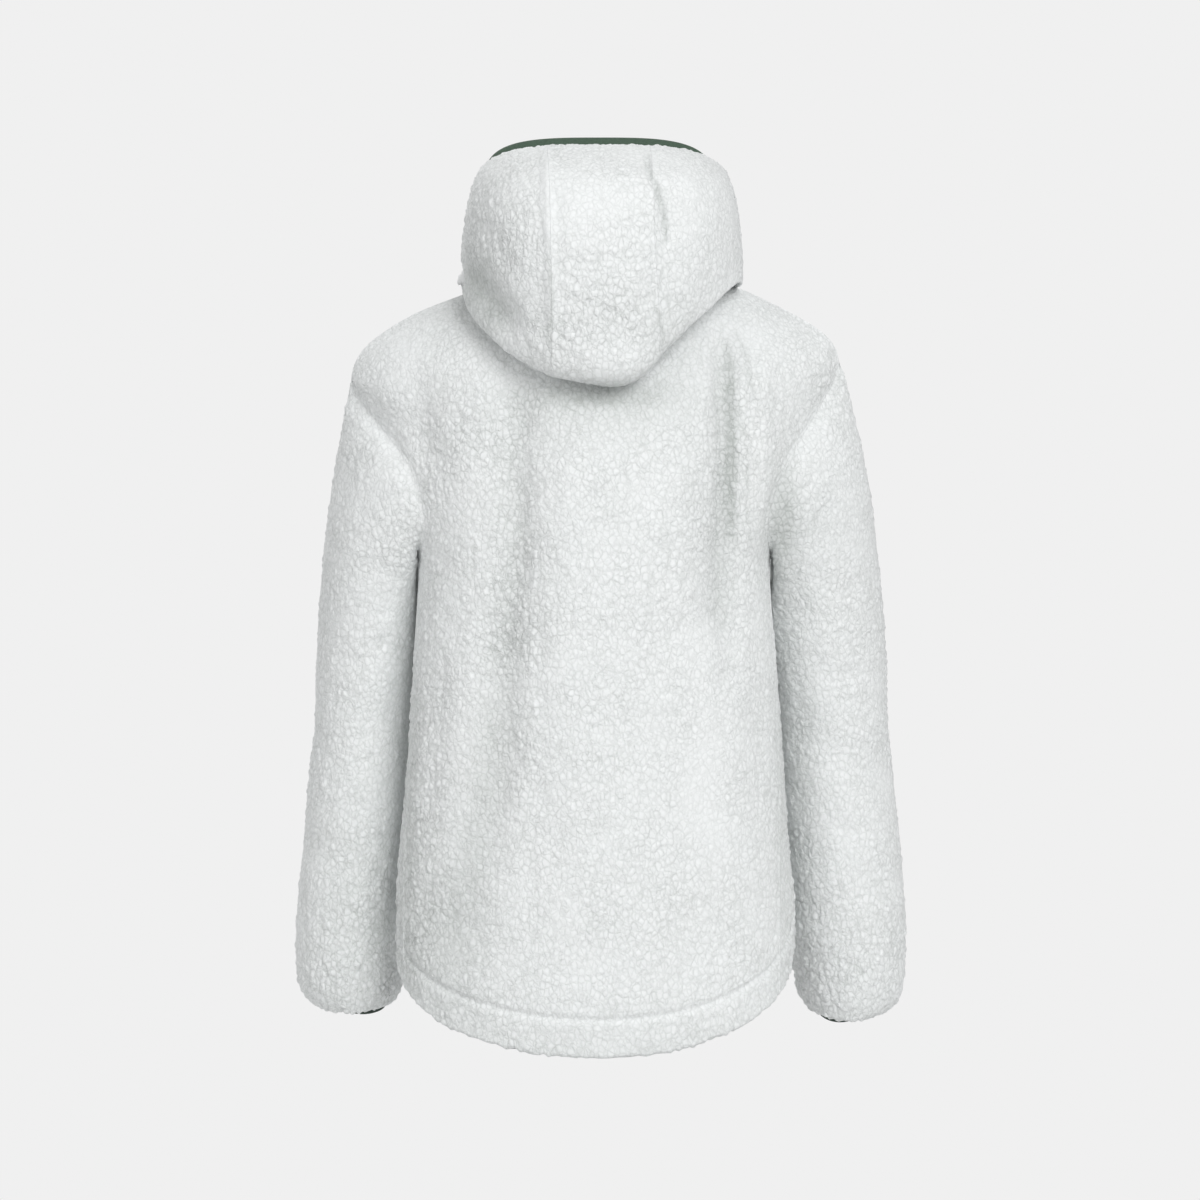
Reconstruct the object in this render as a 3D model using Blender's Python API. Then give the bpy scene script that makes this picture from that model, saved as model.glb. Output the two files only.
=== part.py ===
"""Hooded zip jacket in deep pile fleece, in its worn, hollow form with the hood up.

The row frame is in metres with +Z up. The front of the jacket faces -Y, the wearer's left
side is +X and the origin lies on the centre line at the height where the shoulders carry it.
All sizes below are in millimetres and become metres when the meshes are made.

Every panel is a wall between an outer grid, which is the tips of the pile, and an inner grid.
The outer grids come from rings. A ring has a point at the centre back, one at each side and
one at the centre front, and quarter arcs between them. Short tables give the rings.
"""
import math

import bmesh
import bpy
import numpy as np

MM = 0.001

# Driving sizes
FLEECE_WALL = 5.0
SEAM_GAP = 0.4
ZIP_HALF_GAP = 6.0
HALF_COLUMNS = 11
FRONT_DROP = 1.25
GUSSET_COLUMNS = 4
GUSSET_SETTLE_ROWS = 4
FOLD_FADE_ROWS = 3.0
FOLD_FADE_COLUMNS = 2.0
FOLD_FACE_SOFTNESS = 8.0
BODY_MIDDLE_Y = 5.0
HOOD_MIDDLE_Y = 20.0
SLEEVE_MIDDLE_Y = -50.0
ARC_SAMPLES = 90

HOOD_BINDING_WIDTH = 14.0
HOOD_BINDING_FLARE = 0.8
HOOD_BINDING_RISE = 1.6
HOOD_BINDING_MIDDLE = 0.55
CUFF_BINDING_WIDTH = 9.0
CUFF_GAP = 0.5
BINDING_WALL = 4.0

TAPE_GAP = 0.5
TAPE_WALL = 1.1
TAPE_UNDER_PANEL = 10.0
TAPE_INNER_X = 0.4
CHAIN_HALF_WIDTH = 2.9
CHAIN_FRONT_DEPTH = 2.6
CHAIN_BACK_DEPTH = 5.1

# The slider and its pull, in the slider's own directions: across, up the zip and outwards
SLIDER_HEIGHT = -14.0
SLIDER_HALF_WIDTH = 4.4
SLIDER_HALF_LENGTH = 6.5
SLIDER_BACK = -2.3
SLIDER_FRONT = 0.8
SLIDER_NOSE = 0.7
SLIDER_TAIL = 0.62
SLIDER_CHEEK_TOP = 0.75
SLIDER_CHEEK_FOOT = 0.2
BRIDGE_HALF_WIDTH = 1.1
BRIDGE_HALF_LENGTH = 5.2
BRIDGE_POST = 1.1
BRIDGE_CLEARANCE = 3.0
BRIDGE_WALL = 1.1
BRIDGE_SINK = 0.6
PULL_WALL = 1.6
PULL_HALF_WIDTH = 3.9
PULL_WINDOW_HALF_WIDTH = 1.5
PULL_WINDOW_END = 7.0
PULL_EYE_BAR = 1.6
PULL_ARM = 1.5
PULL_LENGTH = 31.0
PULL_SHOULDER = 2.5
PULL_CORNER = 2.0
SHARP_ANGLE = 40.0

# Colours as the photograph shows them, in linear light
FLEECE_COLOUR = (0.80, 0.83, 0.82, 1.0)
BINDING_COLOUR = (0.085, 0.155, 0.098, 1.0)
CUFF_COLOUR = (0.030, 0.052, 0.038, 1.0)
TAPE_COLOUR = (0.085, 0.155, 0.098, 1.0)
METAL_COLOUR = (0.20, 0.22, 0.21, 1.0)

# Body rings from the hem up to the neck seam. steps is the number of grid rows to the next
# ring. back and front are the centre lines, left and right the sides at the depth side_y.
# seam is the angle of the side or shoulder seam from the centre back, in degrees, and arm_back
# and arm_front are the angles that the armhole takes from the back and front panels.
# bow shapes the depth of the back arc and drop its height: 1 is round, 2 is a parabola.
BODY_COLUMNS = (
    "steps", "back_y", "back_z", "left_x", "left_z", "right_x", "right_z", "side_y",
    "front_y", "front_z", "left_seam", "right_seam", "arm_back", "arm_front", "bow", "drop",
)
BODY_RINGS = (
    (2, 116, -722, 197, -626, 189, -616, 6, -106, -622, 73, 66, 0, 0, 1.00, 0.78),
    (1, 118, -691, 198, -594, 189, -584, 6, -109, -590, 73, 66, 0, 0, 1.00, 0.78),
    (1, 118, -687, 198, -590, 189, -580, 6, -109, -586, 73, 66, 0, 0, 1.00, 0.78),
    (3, 118, -683, 198, -586, 189, -576, 6, -109, -582, 73, 66, 0, 0, 1.00, 0.80),
    (3, 122, -580, 195, -534, 184, -532, 6, -112, -522, 76, 70, 0, 0, 1.00, 1.00),
    (3, 124, -464, 187, -448, 178, -448, 7, -114, -440, 80, 77, 0, 0, 1.00, 1.00),
    (3, 126, -356, 181, -350, 171, -350, 8, -118, -345, 84, 82, 0, 0, 1.00, 1.00),
    (1, 128, -256, 176, -250, 165, -250, 8, -119, -252, 88, 86, 0, 0, 1.00, 1.00),
    (1, 128, -244, 179, -238, 169, -233, 7, -119, -243, 88, 87, 14, 14, 1.02, 1.00),
    (2, 128, -228, 184, -222, 176, -219, 6, -118, -231, 88, 88, 22, 21, 1.05, 1.00),
    (2, 127, -196, 195, -190, 189, -184, 4, -116, -206, 89, 89, 27, 25, 1.12, 1.00),
    (2, 124, -160, 207, -156, 203, -146, 3, -114, -178, 90, 90, 26, 24, 1.22, 1.00),
    (2, 118, -124, 222, -118, 217, -104, 2, -110, -151, 90, 90, 15, 15, 1.35, 1.10),
    (1, 109, -90, 241, -75, 231, -56, 2, -105, -126, 90, 90, 0, 0, 1.50, 1.20),
    (2, 104, -76, 234, -54, 224, -40, 2, -102, -115, 90, 90, 0, 0, 1.50, 1.30),
    (2, 94, -50, 192, -20, 184, -12, 2, -96, -94, 90, 90, 0, 0, 1.40, 1.40),
    (2, 84, -26, 136, 4, 134, 8, 2, -89, -76, 90, 90, 0, 0, 1.20, 1.40),
    (0, 74, -4, 84, 20, 84, 20, 2, -82, -62, 90, 90, 0, 0, 1.00, 1.20),
)
UNDERARM_KEY = 7
TIP_KEY = 13

# Hood rings from the neck seam, out and down under the pouch at the nape, round its lowest
# rim, up the back and over the crown to the face edge. gusset is the distance along the ring
# from the centre line to each gusset seam. bow shapes the depth, the drops shape the height.
HOOD_COLUMNS = (
    "steps", "back_y", "back_z", "left_x", "left_z", "right_x", "right_z", "side_y",
    "front_y", "front_z", "left_gusset", "right_gusset", "bow", "left_drop", "right_drop",
    "square", "front_rise",
)
HOOD_RINGS = (
    (1, 74, -4, 84, 20, 84, 20, 2, -82, -62, 42, 42, 1.0, 1.2, 1.2, 1.0, 1.25),
    (1, 86, 7, 95, 35, 95, 35, 8, -88, -52, 43, 45, 1.0, 1.2, 1.4, 1.0, 1.5),
    (1, 100, -14, 110, 34, 110, 36, 18, -93, -42, 44, 49, 1.0, 1.15, 2.0, 1.0, 1.9),
    (1, 111, -50, 122, 24, 122, 23, 27, -97, -34, 45, 53, 1.0, 1.1, 2.8, 1.0, 2.2),
    (1, 121, -77, 130, 16, 129, 16, 33, -100, -28, 45, 55, 1.0, 1.1, 3.1, 1.0, 2.4),
    (1, 133, -83, 135, 14, 136, 12, 36, -102, -22, 45, 57, 1.0, 1.1, 3.0, 1.0, 2.2),
    (1, 144, -67, 136, 23, 138, 18, 36, -104, -17, 45, 58, 1.0, 1.1, 2.2, 1.0, 1.8),
    (2, 152, -34, 136, 36, 138, 35, 33, -106, -13, 45, 58, 1.0, 1.1, 1.6, 0.95, 1.5),
    (2, 155, 48, 132, 64, 136, 66, 16, -109, -6, 46, 52, 0.85, 0.9, 0.9, 0.85, 1.25),
    (1, 128, 112, 129, 88, 133, 90, -4, -111, 0, 48, 50, 0.75, 0.75, 0.75, 0.75, 1.25),
    (2, 88, 137, 125, 100, 129, 102, -24, -112, 3, 50, 48, 0.70, 0.70, 0.70, 0.70, 1.25),
    (2, 10, 148, 118, 114, 121, 113, -56, -114, 7, 51, 45, 0.66, 0.62, 0.66, 0.66, 1.25),
    (0, -72, 158, 109, 119, 108, 118, -88, -115, 10, 51, 43, 0.62, 0.56, 0.60, 0.62, 1.25),
)

# Sleeve rings from the armhole to the wrist. Each ring has its inner and outer point, the
# middle of its depth and half its depth, and tilt, by which its back hangs lower and its front
# higher. The first one is the armhole.
SLEEVE_COLUMNS = ("steps", "in_x", "in_z", "out_x", "out_z", "mid_y", "half_depth", "tilt")
SLEEVE_RINGS = {
    "left": (
        (1, 176, -250, 241, -75, 4, 58, 0),
        (1, 179, -251, 246, -96, 0, 61, 0),
        (1, 178, -260, 251, -122, -7, 64, 0),
        (2, 178, -274, 258, -156, -16, 66, 0),
        (2, 176, -302, 267, -212, -31, 66, 0),
        (3, 175, -345, 275, -292, -46, 65, 0),
        (3, 179, -420, 282, -392, -58, 62, 0),
        (3, 184, -498, 289, -484, -61, 59, 0),
        (2, 190, -574, 296, -564, -61, 56, 2),
        (1, 196, -626, 300, -624, -61, 54, 4),
        (1, 194, -652, 299, -654, -61, 52, 5),
        (1, 195, -671, 293, -676, -61, 48, 6),
        (1, 201, -684, 277, -690, -61, 41, 6),
        (0, 209, -686, 260, -687, -61, 34, 6),
    ),
    "right": (
        (1, 165, -250, 231, -56, 4, 58, 0),
        (1, 168, -251, 239, -78, 0, 61, 0),
        (1, 167, -260, 246, -104, -7, 64, 0),
        (2, 166, -274, 255, -140, -16, 66, 0),
        (2, 163, -302, 266, -198, -31, 66, 0),
        (3, 163, -345, 277, -285, -46, 65, 0),
        (3, 169, -420, 284, -392, -56, 62, 0),
        (3, 175, -498, 291, -484, -59, 60, 0),
        (2, 182, -574, 299, -564, -59, 57, 3),
        (1, 188, -626, 301, -626, -59, 55, 6),
        (1, 190, -654, 300, -658, -59, 52, 8),
        (1, 194, -674, 294, -682, -59, 48, 10),
        (1, 203, -688, 277, -694, -59, 41, 10),
        (0, 212, -690, 259, -692, -59, 34, 10),
    ),
}
ARMHOLE_BLEND_ROWS = 6

# Folds as soft troughs, or ridges where depth is negative. Each has the face it lies on,
# its depth, its half-width at the start and end of its path, and the path as x and z.
BODY_FOLDS = (
    ("back", 6.5, 24, 40, ((78, -97), (81, -170), (82, -252), (96, -310), (102, -453), (132, -590))),
    ("back", 9.0, 19, 24, ((-122, -60), (-123, -120), (-123, -180), (-120, -243), (-116, -300))),
    ("back", -4.0, 18, 18, ((-152, -80), (-152, -160), (-150, -235))),
    ("back", 5.0, 18, 18, ((176, -85), (171, -111), (166, -150))),
    ("back", 3.0, 30, 44, ((-60, -330), (-84, -470), (-110, -600))),
    ("back", -2.5, 30, 40, ((20, -150), (24, -300), (30, -480))),
    ("front", 6.0, 24, 38, ((92, -190), (86, -300), (96, -430), (110, -540))),
    ("front", 5.0, 22, 36, ((-96, -210), (-84, -330), (-90, -450), (-104, -550))),
    ("front", 3.5, 18, 26, ((44, -330), (50, -450), (46, -560))),
    ("front", 3.5, 18, 28, ((-42, -300), (-48, -420), (-56, -530))),
)
HOOD_FOLDS = (
    ("back", 5.5, 14, 18, ((132, 26), (112, 4), (90, -30))),
    ("back", 3.0, 12, 16, ((-60, 62), (-62, 30), (-58, -10))),
    ("front", 4.0, 14, 18, ((118, 92), (100, 40), (70, 0))),
    ("front", 4.0, 14, 18, ((-116, 84), (-98, 36), (-68, -4))),
)
SLEEVE_FOLDS = (
    ("back", 4.0, 12, 18, ((-176, -196), (-180, -240), (-190, -300))),
    ("back", 2.6, 18, 22, ((205, -400), (240, -430), (268, -440))),
    ("back", 2.2, 16, 20, ((214, -560), (250, -548), (284, -530))),
    ("back", 2.6, 18, 22, ((-200, -420), (-240, -446), (-270, -452))),
    ("back", 2.2, 14, 20, ((-206, -590), (-246, -575), (-284, -560))),
    ("front", 4.0, 16, 22, ((206, -372), (240, -392), (270, -398))),
    ("front", 3.4, 14, 20, ((210, -440), (246, -432), (276, -420))),
    ("front", 4.0, 16, 22, ((-202, -380), (-240, -396), (-272, -400))),
    ("front", 3.2, 14, 20, ((-206, -448), (-246, -440), (-278, -430))),
)
HEM_STITCH_ROW = 3
HEM_STITCH_DEPTH = 1.6


def smooth_rows(columns, keys):
    """Read one table at every grid row, with cubic curves through its key rows."""
    steps = np.array([key[0] for key in keys[:-1]], float)
    places = np.concatenate(([0.0], np.cumsum(steps)))
    values = np.array([key[1:] for key in keys], float)
    slopes = np.zeros_like(values)
    gaps = np.diff(places)[:, None]
    secants = np.diff(values, axis=0) / gaps
    slopes[1:-1] = (secants[:-1] * gaps[1:] + secants[1:] * gaps[:-1]) / (gaps[:-1] + gaps[1:])
    slopes[0] = secants[0]
    slopes[-1] = secants[-1]
    rows = np.arange(int(places[-1]) + 1)
    spans = np.clip(np.searchsorted(places, rows, side="right") - 1, 0, len(gaps) - 1)
    width = gaps[spans]
    t = (rows[:, None] - places[spans][:, None]) / width
    low, high = values[spans], values[spans + 1]
    out = (
        (2 * t**3 - 3 * t**2 + 1) * low
        + (t**3 - 2 * t**2 + t) * width * slopes[spans]
        + (3 * t**2 - 2 * t**3) * high
        + (t**3 - t**2) * width * slopes[spans + 1]
    )
    return [dict(zip(columns[1:], row)) for row in out]


def power(values, exponent):
    """Raise the size of each value to an exponent."""
    return np.abs(values) ** exponent


def half_ring(row, side):
    """One half of a ring, from the centre back (0 degrees) to the centre front (180).

    On the back quarter x grows with the sine of the angle, and depth and height go from the
    side's to the centre back's with the cosine, each raised to its own exponent. The front
    quarter does the same between the side and the edge of the zip.
    """
    name = "left" if side > 0 else "right"
    angle = np.radians(np.linspace(0.0, 180.0, 2 * ARC_SAMPLES + 1))
    behind = angle <= math.pi / 2
    sine, cosine = np.sin(angle), np.cos(angle)
    across = row[name + "_x"]
    high = row[name + "_z"]
    deep = row["side_y"]
    drop = row.get("drop", row.get(name + "_drop"))
    square = row.get("square", 1.0)
    x_back = across * power(sine, square)
    x_front = ZIP_HALF_GAP + (across - ZIP_HALF_GAP) * power(sine, 1.0)
    y_back = deep + (row["back_y"] - deep) * power(cosine, row["bow"])
    y_front = deep + (row["front_y"] - deep) * power(cosine, 1.0)
    z_back = high + (row["back_z"] - high) * power(cosine, drop)
    z_front = high + (row["front_z"] - high) * power(cosine, row.get("front_rise", FRONT_DROP))
    points = np.stack((
        side * np.where(behind, x_back, x_front),
        np.where(behind, y_back, y_front),
        np.where(behind, z_back, z_front),
    ), axis=1)
    return points


def lengths(points):
    """Distance along a line of points, from its first one."""
    steps = np.linalg.norm(np.diff(points, axis=0), axis=1)
    return np.concatenate(([0.0], np.cumsum(steps)))


def read_at(points, along, places):
    """Points of a line at the given distances along it."""
    return np.stack([np.interp(places, along, points[:, axis]) for axis in range(3)], axis=1)


def panel_places(seam, edge, count):
    """Distances of a panel's columns from its centre line: seam * t - (seam - edge) * t cubed.

    The armhole takes the stretch from edge to seam, so only the columns beside it move.
    """
    t = np.linspace(0.0, 1.0, count + 1)
    return seam * t - (seam - edge) * t**3


def angle_place(along, degrees):
    """Distance along a half ring at an angle from the centre back."""
    return np.interp(degrees / 180.0 * (len(along) - 1), np.arange(len(along)), along)


def body_grids():
    """Outer grids of the back and the two fronts, and the loops of the two armholes."""
    rows = smooth_rows(BODY_COLUMNS, BODY_RINGS)
    starts = np.concatenate(([0], np.cumsum([key[0] for key in BODY_RINGS[:-1]])))
    underarm, tip = int(starts[UNDERARM_KEY]), int(starts[TIP_KEY])
    halves = {}
    for side, name in ((1, "left"), (-1, "right")):
        behind, ahead = [], []
        for row in rows:
            line = half_ring(row, side)
            along = lengths(line)
            angle = row[name + "_seam"]
            seam = angle_place(along, angle)
            back_edge = angle_place(along, angle - max(row["arm_back"], 0.0))
            front_edge = angle_place(along, angle + max(row["arm_front"], 0.0))
            places = panel_places(seam, back_edge, HALF_COLUMNS)
            behind.append(read_at(line, along, places))
            places = along[-1] - panel_places(along[-1] - seam, along[-1] - front_edge, HALF_COLUMNS)
            ahead.append(read_at(line, along, places[::-1]))
        behind, ahead = np.array(behind), np.array(ahead)
        closed = [index for index in range(len(rows)) if index <= underarm or index >= tip]
        ahead[closed, 0] = behind[closed, -1]
        halves[name] = (behind, ahead)
    back = np.concatenate((halves["right"][0][:, :0:-1], halves["left"][0]), axis=1)
    loops = {}
    for name in ("left", "right"):
        behind, ahead = halves[name]
        up = behind[underarm:tip + 1, -1]
        down = ahead[tip - 1:underarm:-1, 0]
        loops[name] = np.concatenate((up, down))
    return back, halves["left"][1], halves["right"][1], loops


def neck_places(line, along):
    """Distances along the neck seam where the body's columns end."""
    side = angle_place(along, 90.0)
    behind = np.linspace(0.0, side, HALF_COLUMNS + 1)
    ahead = np.linspace(side, along[-1], HALF_COLUMNS + 1)
    return np.concatenate((behind, ahead[1:]))


def hood_grids():
    """Outer grids of the hood's centre gusset and its two sides."""
    rows = smooth_rows(HOOD_COLUMNS, HOOD_RINGS)
    halves = {}
    for side, name in ((1, "left"), (-1, "right")):
        grid = []
        for index, row in enumerate(rows):
            line = half_ring(row, side)
            along = lengths(line)
            gusset = row[name + "_gusset"]
            middle = np.linspace(0.0, gusset, GUSSET_COLUMNS + 1)
            flank = np.linspace(gusset, along[-1], 2 * HALF_COLUMNS - GUSSET_COLUMNS + 1)
            own = np.concatenate((middle, flank[1:]))
            share = min(index / GUSSET_SETTLE_ROWS, 1.0)
            places = neck_places(line, along) * (1.0 - share) + own * share
            grid.append(read_at(line, along, places))
        halves[name] = np.array(grid)
    left, right = halves["left"], halves["right"]
    centre = np.concatenate(
        (right[:, GUSSET_COLUMNS:0:-1], left[:, :GUSSET_COLUMNS + 1]), axis=1)
    return centre, left[:, GUSSET_COLUMNS:], right[:, GUSSET_COLUMNS:]


def sleeve_ring(row, side, count):
    """One closed ring of a sleeve, evenly spaced from its inner point round by the back.

    Height and x go between the inner and the outer point with the cosine of the angle, and
    depth goes with its sine, and the back hangs lower by the tilt times that sine.
    """
    angle = np.linspace(0.0, 2 * math.pi, 4 * ARC_SAMPLES + 1)
    share = (1.0 - np.cos(angle)) / 2.0
    line = np.stack((
        side * (row["in_x"] + (row["out_x"] - row["in_x"]) * share),
        row["mid_y"] + row["half_depth"] * np.sin(angle),
        row["in_z"] + (row["out_z"] - row["in_z"]) * share - row["tilt"] * np.sin(angle),
    ), axis=1)
    along = lengths(line)
    half = along[len(along) // 2]
    places = np.concatenate((
        np.linspace(0.0, half, count // 2 + 1),
        np.linspace(half, along[-1], count // 2 + 1)[1:-1],
    ))
    return read_at(line, along, places)


def sleeve_grid(table, side, loop):
    """Outer grid of one sleeve. Its first row is the armhole, which fades into the rings."""
    rows = smooth_rows(SLEEVE_COLUMNS, table)
    rings = np.array([sleeve_ring(row, side, len(loop)) for row in rows])
    fade = np.clip(1.0 - np.arange(len(rows)) / ARMHOLE_BLEND_ROWS, 0.0, 1.0) ** 1.5
    return rings + fade[:, None, None] * (loop - rings[0])[None]


def fold_depth(points, middle_y, folds):
    """Depth of the folds at each point: a bell curve of the distance to each fold's path."""
    total = np.zeros(len(points))
    for face, depth, start_width, end_width, path in folds:
        path = np.array(path, float)
        best = np.full(len(points), np.inf)
        for index in range(len(path) - 1):
            start, step = path[index], path[index + 1] - path[index]
            offset = points[:, (0, 2)] - start
            t = np.clip(offset @ step / (step @ step), 0.0, 1.0)
            distance = np.linalg.norm(offset - t[:, None] * step, axis=1)
            share = (index + t) / (len(path) - 1)
            width = start_width + (end_width - start_width) * share
            best = np.minimum(best, distance / width)
        sign = 1.0 if face == "back" else -1.0
        facing = 1.0 / (1.0 + np.exp(-sign * (points[:, 1] - middle_y) / FOLD_FACE_SOFTNESS))
        total += depth * facing * np.exp(-best**2)
    return total


def grid_normals(grids, wraps):
    """Outward normals of all grids together, so that pieces share them along their seams."""
    keys, sums = {}, []
    ids = {}
    for name, grid in grids.items():
        flat = np.round(grid.reshape(-1, 3), 3)
        index = np.zeros(len(flat), int)
        for place, point in enumerate(map(tuple, flat)):
            if point not in keys:
                keys[point] = len(sums)
                sums.append(np.zeros(3))
            index[place] = keys[point]
        ids[name] = index.reshape(grid.shape[:2])
    total = np.zeros((len(sums), 3))
    for name, grid in grids.items():
        index = ids[name]
        if wraps[name]:
            grid = np.concatenate((grid, grid[:, :1]), axis=1)
            index = np.concatenate((index, index[:, :1]), axis=1)
        a, b = grid[:-1, :-1], grid[1:, :-1]
        c, d = grid[1:, 1:], grid[:-1, 1:]
        facing = np.cross(c - a, b - d) * OUTWARD[name]
        facing /= np.linalg.norm(facing, axis=2, keepdims=True) + 1e-9
        for corner in (index[:-1, :-1], index[1:, :-1], index[1:, 1:], index[:-1, 1:]):
            np.add.at(total, corner.ravel(), facing.reshape(-1, 3))
    total /= np.linalg.norm(total, axis=1, keepdims=True) + 1e-9
    return {name: total[index] for name, index in ids.items()}


# Which way round each grid's rows and columns face: 1 where the normal comes out outwards
OUTWARD = {
    "back": -1, "front_left": -1, "front_right": 1, "sleeve_left": 1, "sleeve_right": -1,
    "hood_centre": -1, "hood_left": -1, "hood_right": 1,
}


def pull_in(grid, wrap, distance, skip=()):
    """Move a grid's border rows and columns inwards, square to the seam, to leave its gap."""
    out = grid.copy()

    def toward(target, source):
        along = np.roll(target, -1, axis=0) - np.roll(target, 1, axis=0)
        if not (wrap and len(target) == out.shape[1]):
            along[0], along[-1] = target[1] - target[0], target[-1] - target[-2]
        along /= np.linalg.norm(along, axis=1, keepdims=True) + 1e-9
        step = source - target
        square = step - along * (step * along).sum(axis=1, keepdims=True)
        return target + square / (np.linalg.norm(square, axis=1, keepdims=True) + 1e-9) * distance

    if "first_row" not in skip:
        out[0] = toward(out[0], grid[1])
    if "last_row" not in skip:
        out[-1] = toward(out[-1], grid[-2])
    if not wrap:
        if "first_column" not in skip:
            out[:, 0] = toward(out[:, 0], out[:, 1])
        if "last_column" not in skip:
            out[:, -1] = toward(out[:, -1], out[:, -2])
    return out


def wall_mesh(outer, inner, wrap):
    """Points and faces of a closed wall between an outer and an inner grid.

    The rims are cut along chosen diagonals, from the outer point of a lower row to the inner
    point of the next one, so that the two rims of a twisted seam stay parallel. A wrapped
    grid's first row climbs one side of the armhole and comes down the other.
    """
    rows, columns = outer.shape[:2]
    points = np.concatenate((outer.reshape(-1, 3), inner.reshape(-1, 3)))
    shift = rows * columns
    last = columns if wrap else columns - 1
    faces = []
    for row in range(rows - 1):
        for column in range(last):
            beside = (column + 1) % columns
            a, b = row * columns + column, row * columns + beside
            c, d = (row + 1) * columns + beside, (row + 1) * columns + column
            faces.append((a, b, c, d))
            faces.append((d + shift, c + shift, b + shift, a + shift))
    for column in range(last):
        beside = (column + 1) % columns
        if wrap and column >= columns // 2:
            faces.append((beside, column, column + shift))
            faces.append((beside, column + shift, beside + shift))
        else:
            faces.append((beside, column, beside + shift))
            faces.append((column, column + shift, beside + shift))
        top = (rows - 1) * columns
        faces.append((top + column, top + beside, top + beside + shift, top + column + shift))
    if not wrap:
        for row in range(rows - 1):
            a, d = row * columns, (row + 1) * columns
            faces.append((a, d, d + shift))
            faces.append((a, d + shift, a + shift))
            b, c = a + columns - 1, d + columns - 1
            faces.append((b, c + shift, c))
            faces.append((b, b + shift, c + shift))
    return points, faces


def material(name, colour, roughness, metallic=0.0):
    """A plain material with one colour."""
    made = bpy.data.materials.new(name)
    made.use_nodes = True
    shader = made.node_tree.nodes["Principled BSDF"]
    shader.inputs["Base Color"].default_value = colour
    shader.inputs["Roughness"].default_value = roughness
    shader.inputs["Metallic"].default_value = metallic
    made.diffuse_color = colour
    return made


def add_object(name, points, faces, finish, origin=(0.0, 0.0, 0.0), smooth=True):
    """Make one named object from points in millimetres, with its faces turned outwards."""
    mesh = bpy.data.meshes.new(name)
    origin = np.array(origin, float)
    mesh.from_pydata(((np.asarray(points, float) - origin) * MM).tolist(), [], faces)
    mesh.update()
    work = bmesh.new()
    work.from_mesh(mesh)
    if work.calc_volume(signed=True) < 0.0:
        bmesh.ops.reverse_faces(work, faces=work.faces)
    work.to_mesh(mesh)
    work.free()
    mesh.materials.append(finish)
    if smooth:
        mesh.shade_smooth()
        mesh.set_sharp_from_angle(angle=math.radians(SHARP_ANGLE))
    item = bpy.data.objects.new(name, mesh)
    item.location = origin * MM
    bpy.context.scene.collection.objects.link(item)
    return item


def garment_grids():
    """All the fleece pieces' outer grids, with their folds, and their shared normals."""
    back, front_left, front_right, loops = body_grids()
    centre, hood_left, hood_right = hood_grids()
    grids = {
        "back": back,
        "front_left": front_left,
        "front_right": front_right,
        "sleeve_left": sleeve_grid(SLEEVE_RINGS["left"], 1, loops["left"]),
        "sleeve_right": sleeve_grid(SLEEVE_RINGS["right"], -1, loops["right"]),
        "hood_centre": centre,
        "hood_left": hood_left,
        "hood_right": hood_right,
    }
    wraps = {name: name.startswith("sleeve") for name in grids}
    normals = grid_normals(grids, wraps)
    for name, grid in grids.items():
        points = grid.reshape(-1, 3)
        if name.startswith("sleeve"):
            depth = fold_depth(points, SLEEVE_MIDDLE_Y, SLEEVE_FOLDS)
        elif name.startswith("hood"):
            depth = fold_depth(points, HOOD_MIDDLE_Y, HOOD_FOLDS)
        else:
            depth = fold_depth(points, BODY_MIDDLE_Y, BODY_FOLDS)
        depth = depth.reshape(grid.shape[:2]) * edge_fade(name, grid)
        grids[name] = grid - normals[name] * depth[:, :, None]
    normals = grid_normals(grids, wraps)
    for name in ("back", "front_left", "front_right"):
        grids[name][HEM_STITCH_ROW] -= normals[name][HEM_STITCH_ROW] * HEM_STITCH_DEPTH
    return grids, normals, wraps


def edge_fade(name, grid):
    """Share of the folds' depth at each point: none at a neck or armhole edge."""
    rows, columns = grid.shape[:2]
    from_first = np.clip(np.arange(rows) / FOLD_FADE_ROWS, 0.0, 1.0)[:, None]
    if name.startswith(("sleeve", "hood")):
        return from_first
    place = np.arange(columns)
    from_edge = np.minimum(place, columns - 1 - place) if name == "back" else place
    return from_first[::-1] * np.clip(from_edge / FOLD_FADE_COLUMNS, 0.0, 1.0)[None]


def build_fleece(grids, normals, wraps, finish):
    """The walls of all the fleece pieces."""
    inset = SEAM_GAP / 2
    for name, grid in grids.items():
        skip = ["first_row"] if name in ("back", "front_left", "front_right") else []
        if name.startswith(("front", "hood_left", "hood_right")):
            skip.append("last_column")
        inner = grid - normals[name] * FLEECE_WALL
        outer = pull_in(grid, wraps[name], inset, skip)
        inner = pull_in(inner, wraps[name], inset, skip)
        points, faces = wall_mesh(outer, inner, wraps[name])
        add_object(name, points, faces, finish)


def band_beyond(edge, before, normals, width):
    """Three rows that carry on past the hood's face edge, leaning outwards by the flare.

    Each row is the edge moved along the piece's own run, plus flare times its normal.
    """
    onward = edge - before
    onward /= np.linalg.norm(onward, axis=1, keepdims=True)
    way = onward + normals * HOOD_BINDING_FLARE
    way /= np.linalg.norm(way, axis=1, keepdims=True)
    centre = edge - normals * (FLEECE_WALL / 2)
    side = np.cross(way, np.cross(normals, way))
    side /= np.linalg.norm(side, axis=1, keepdims=True)
    places = (SEAM_GAP + HOOD_BINDING_RISE, width * HOOD_BINDING_MIDDLE, width)
    outer = np.array([centre + way * place + side * (BINDING_WALL / 2) for place in places])
    inner = np.array([centre + way * place - side * (BINDING_WALL / 2) for place in places])
    return outer, inner


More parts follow.
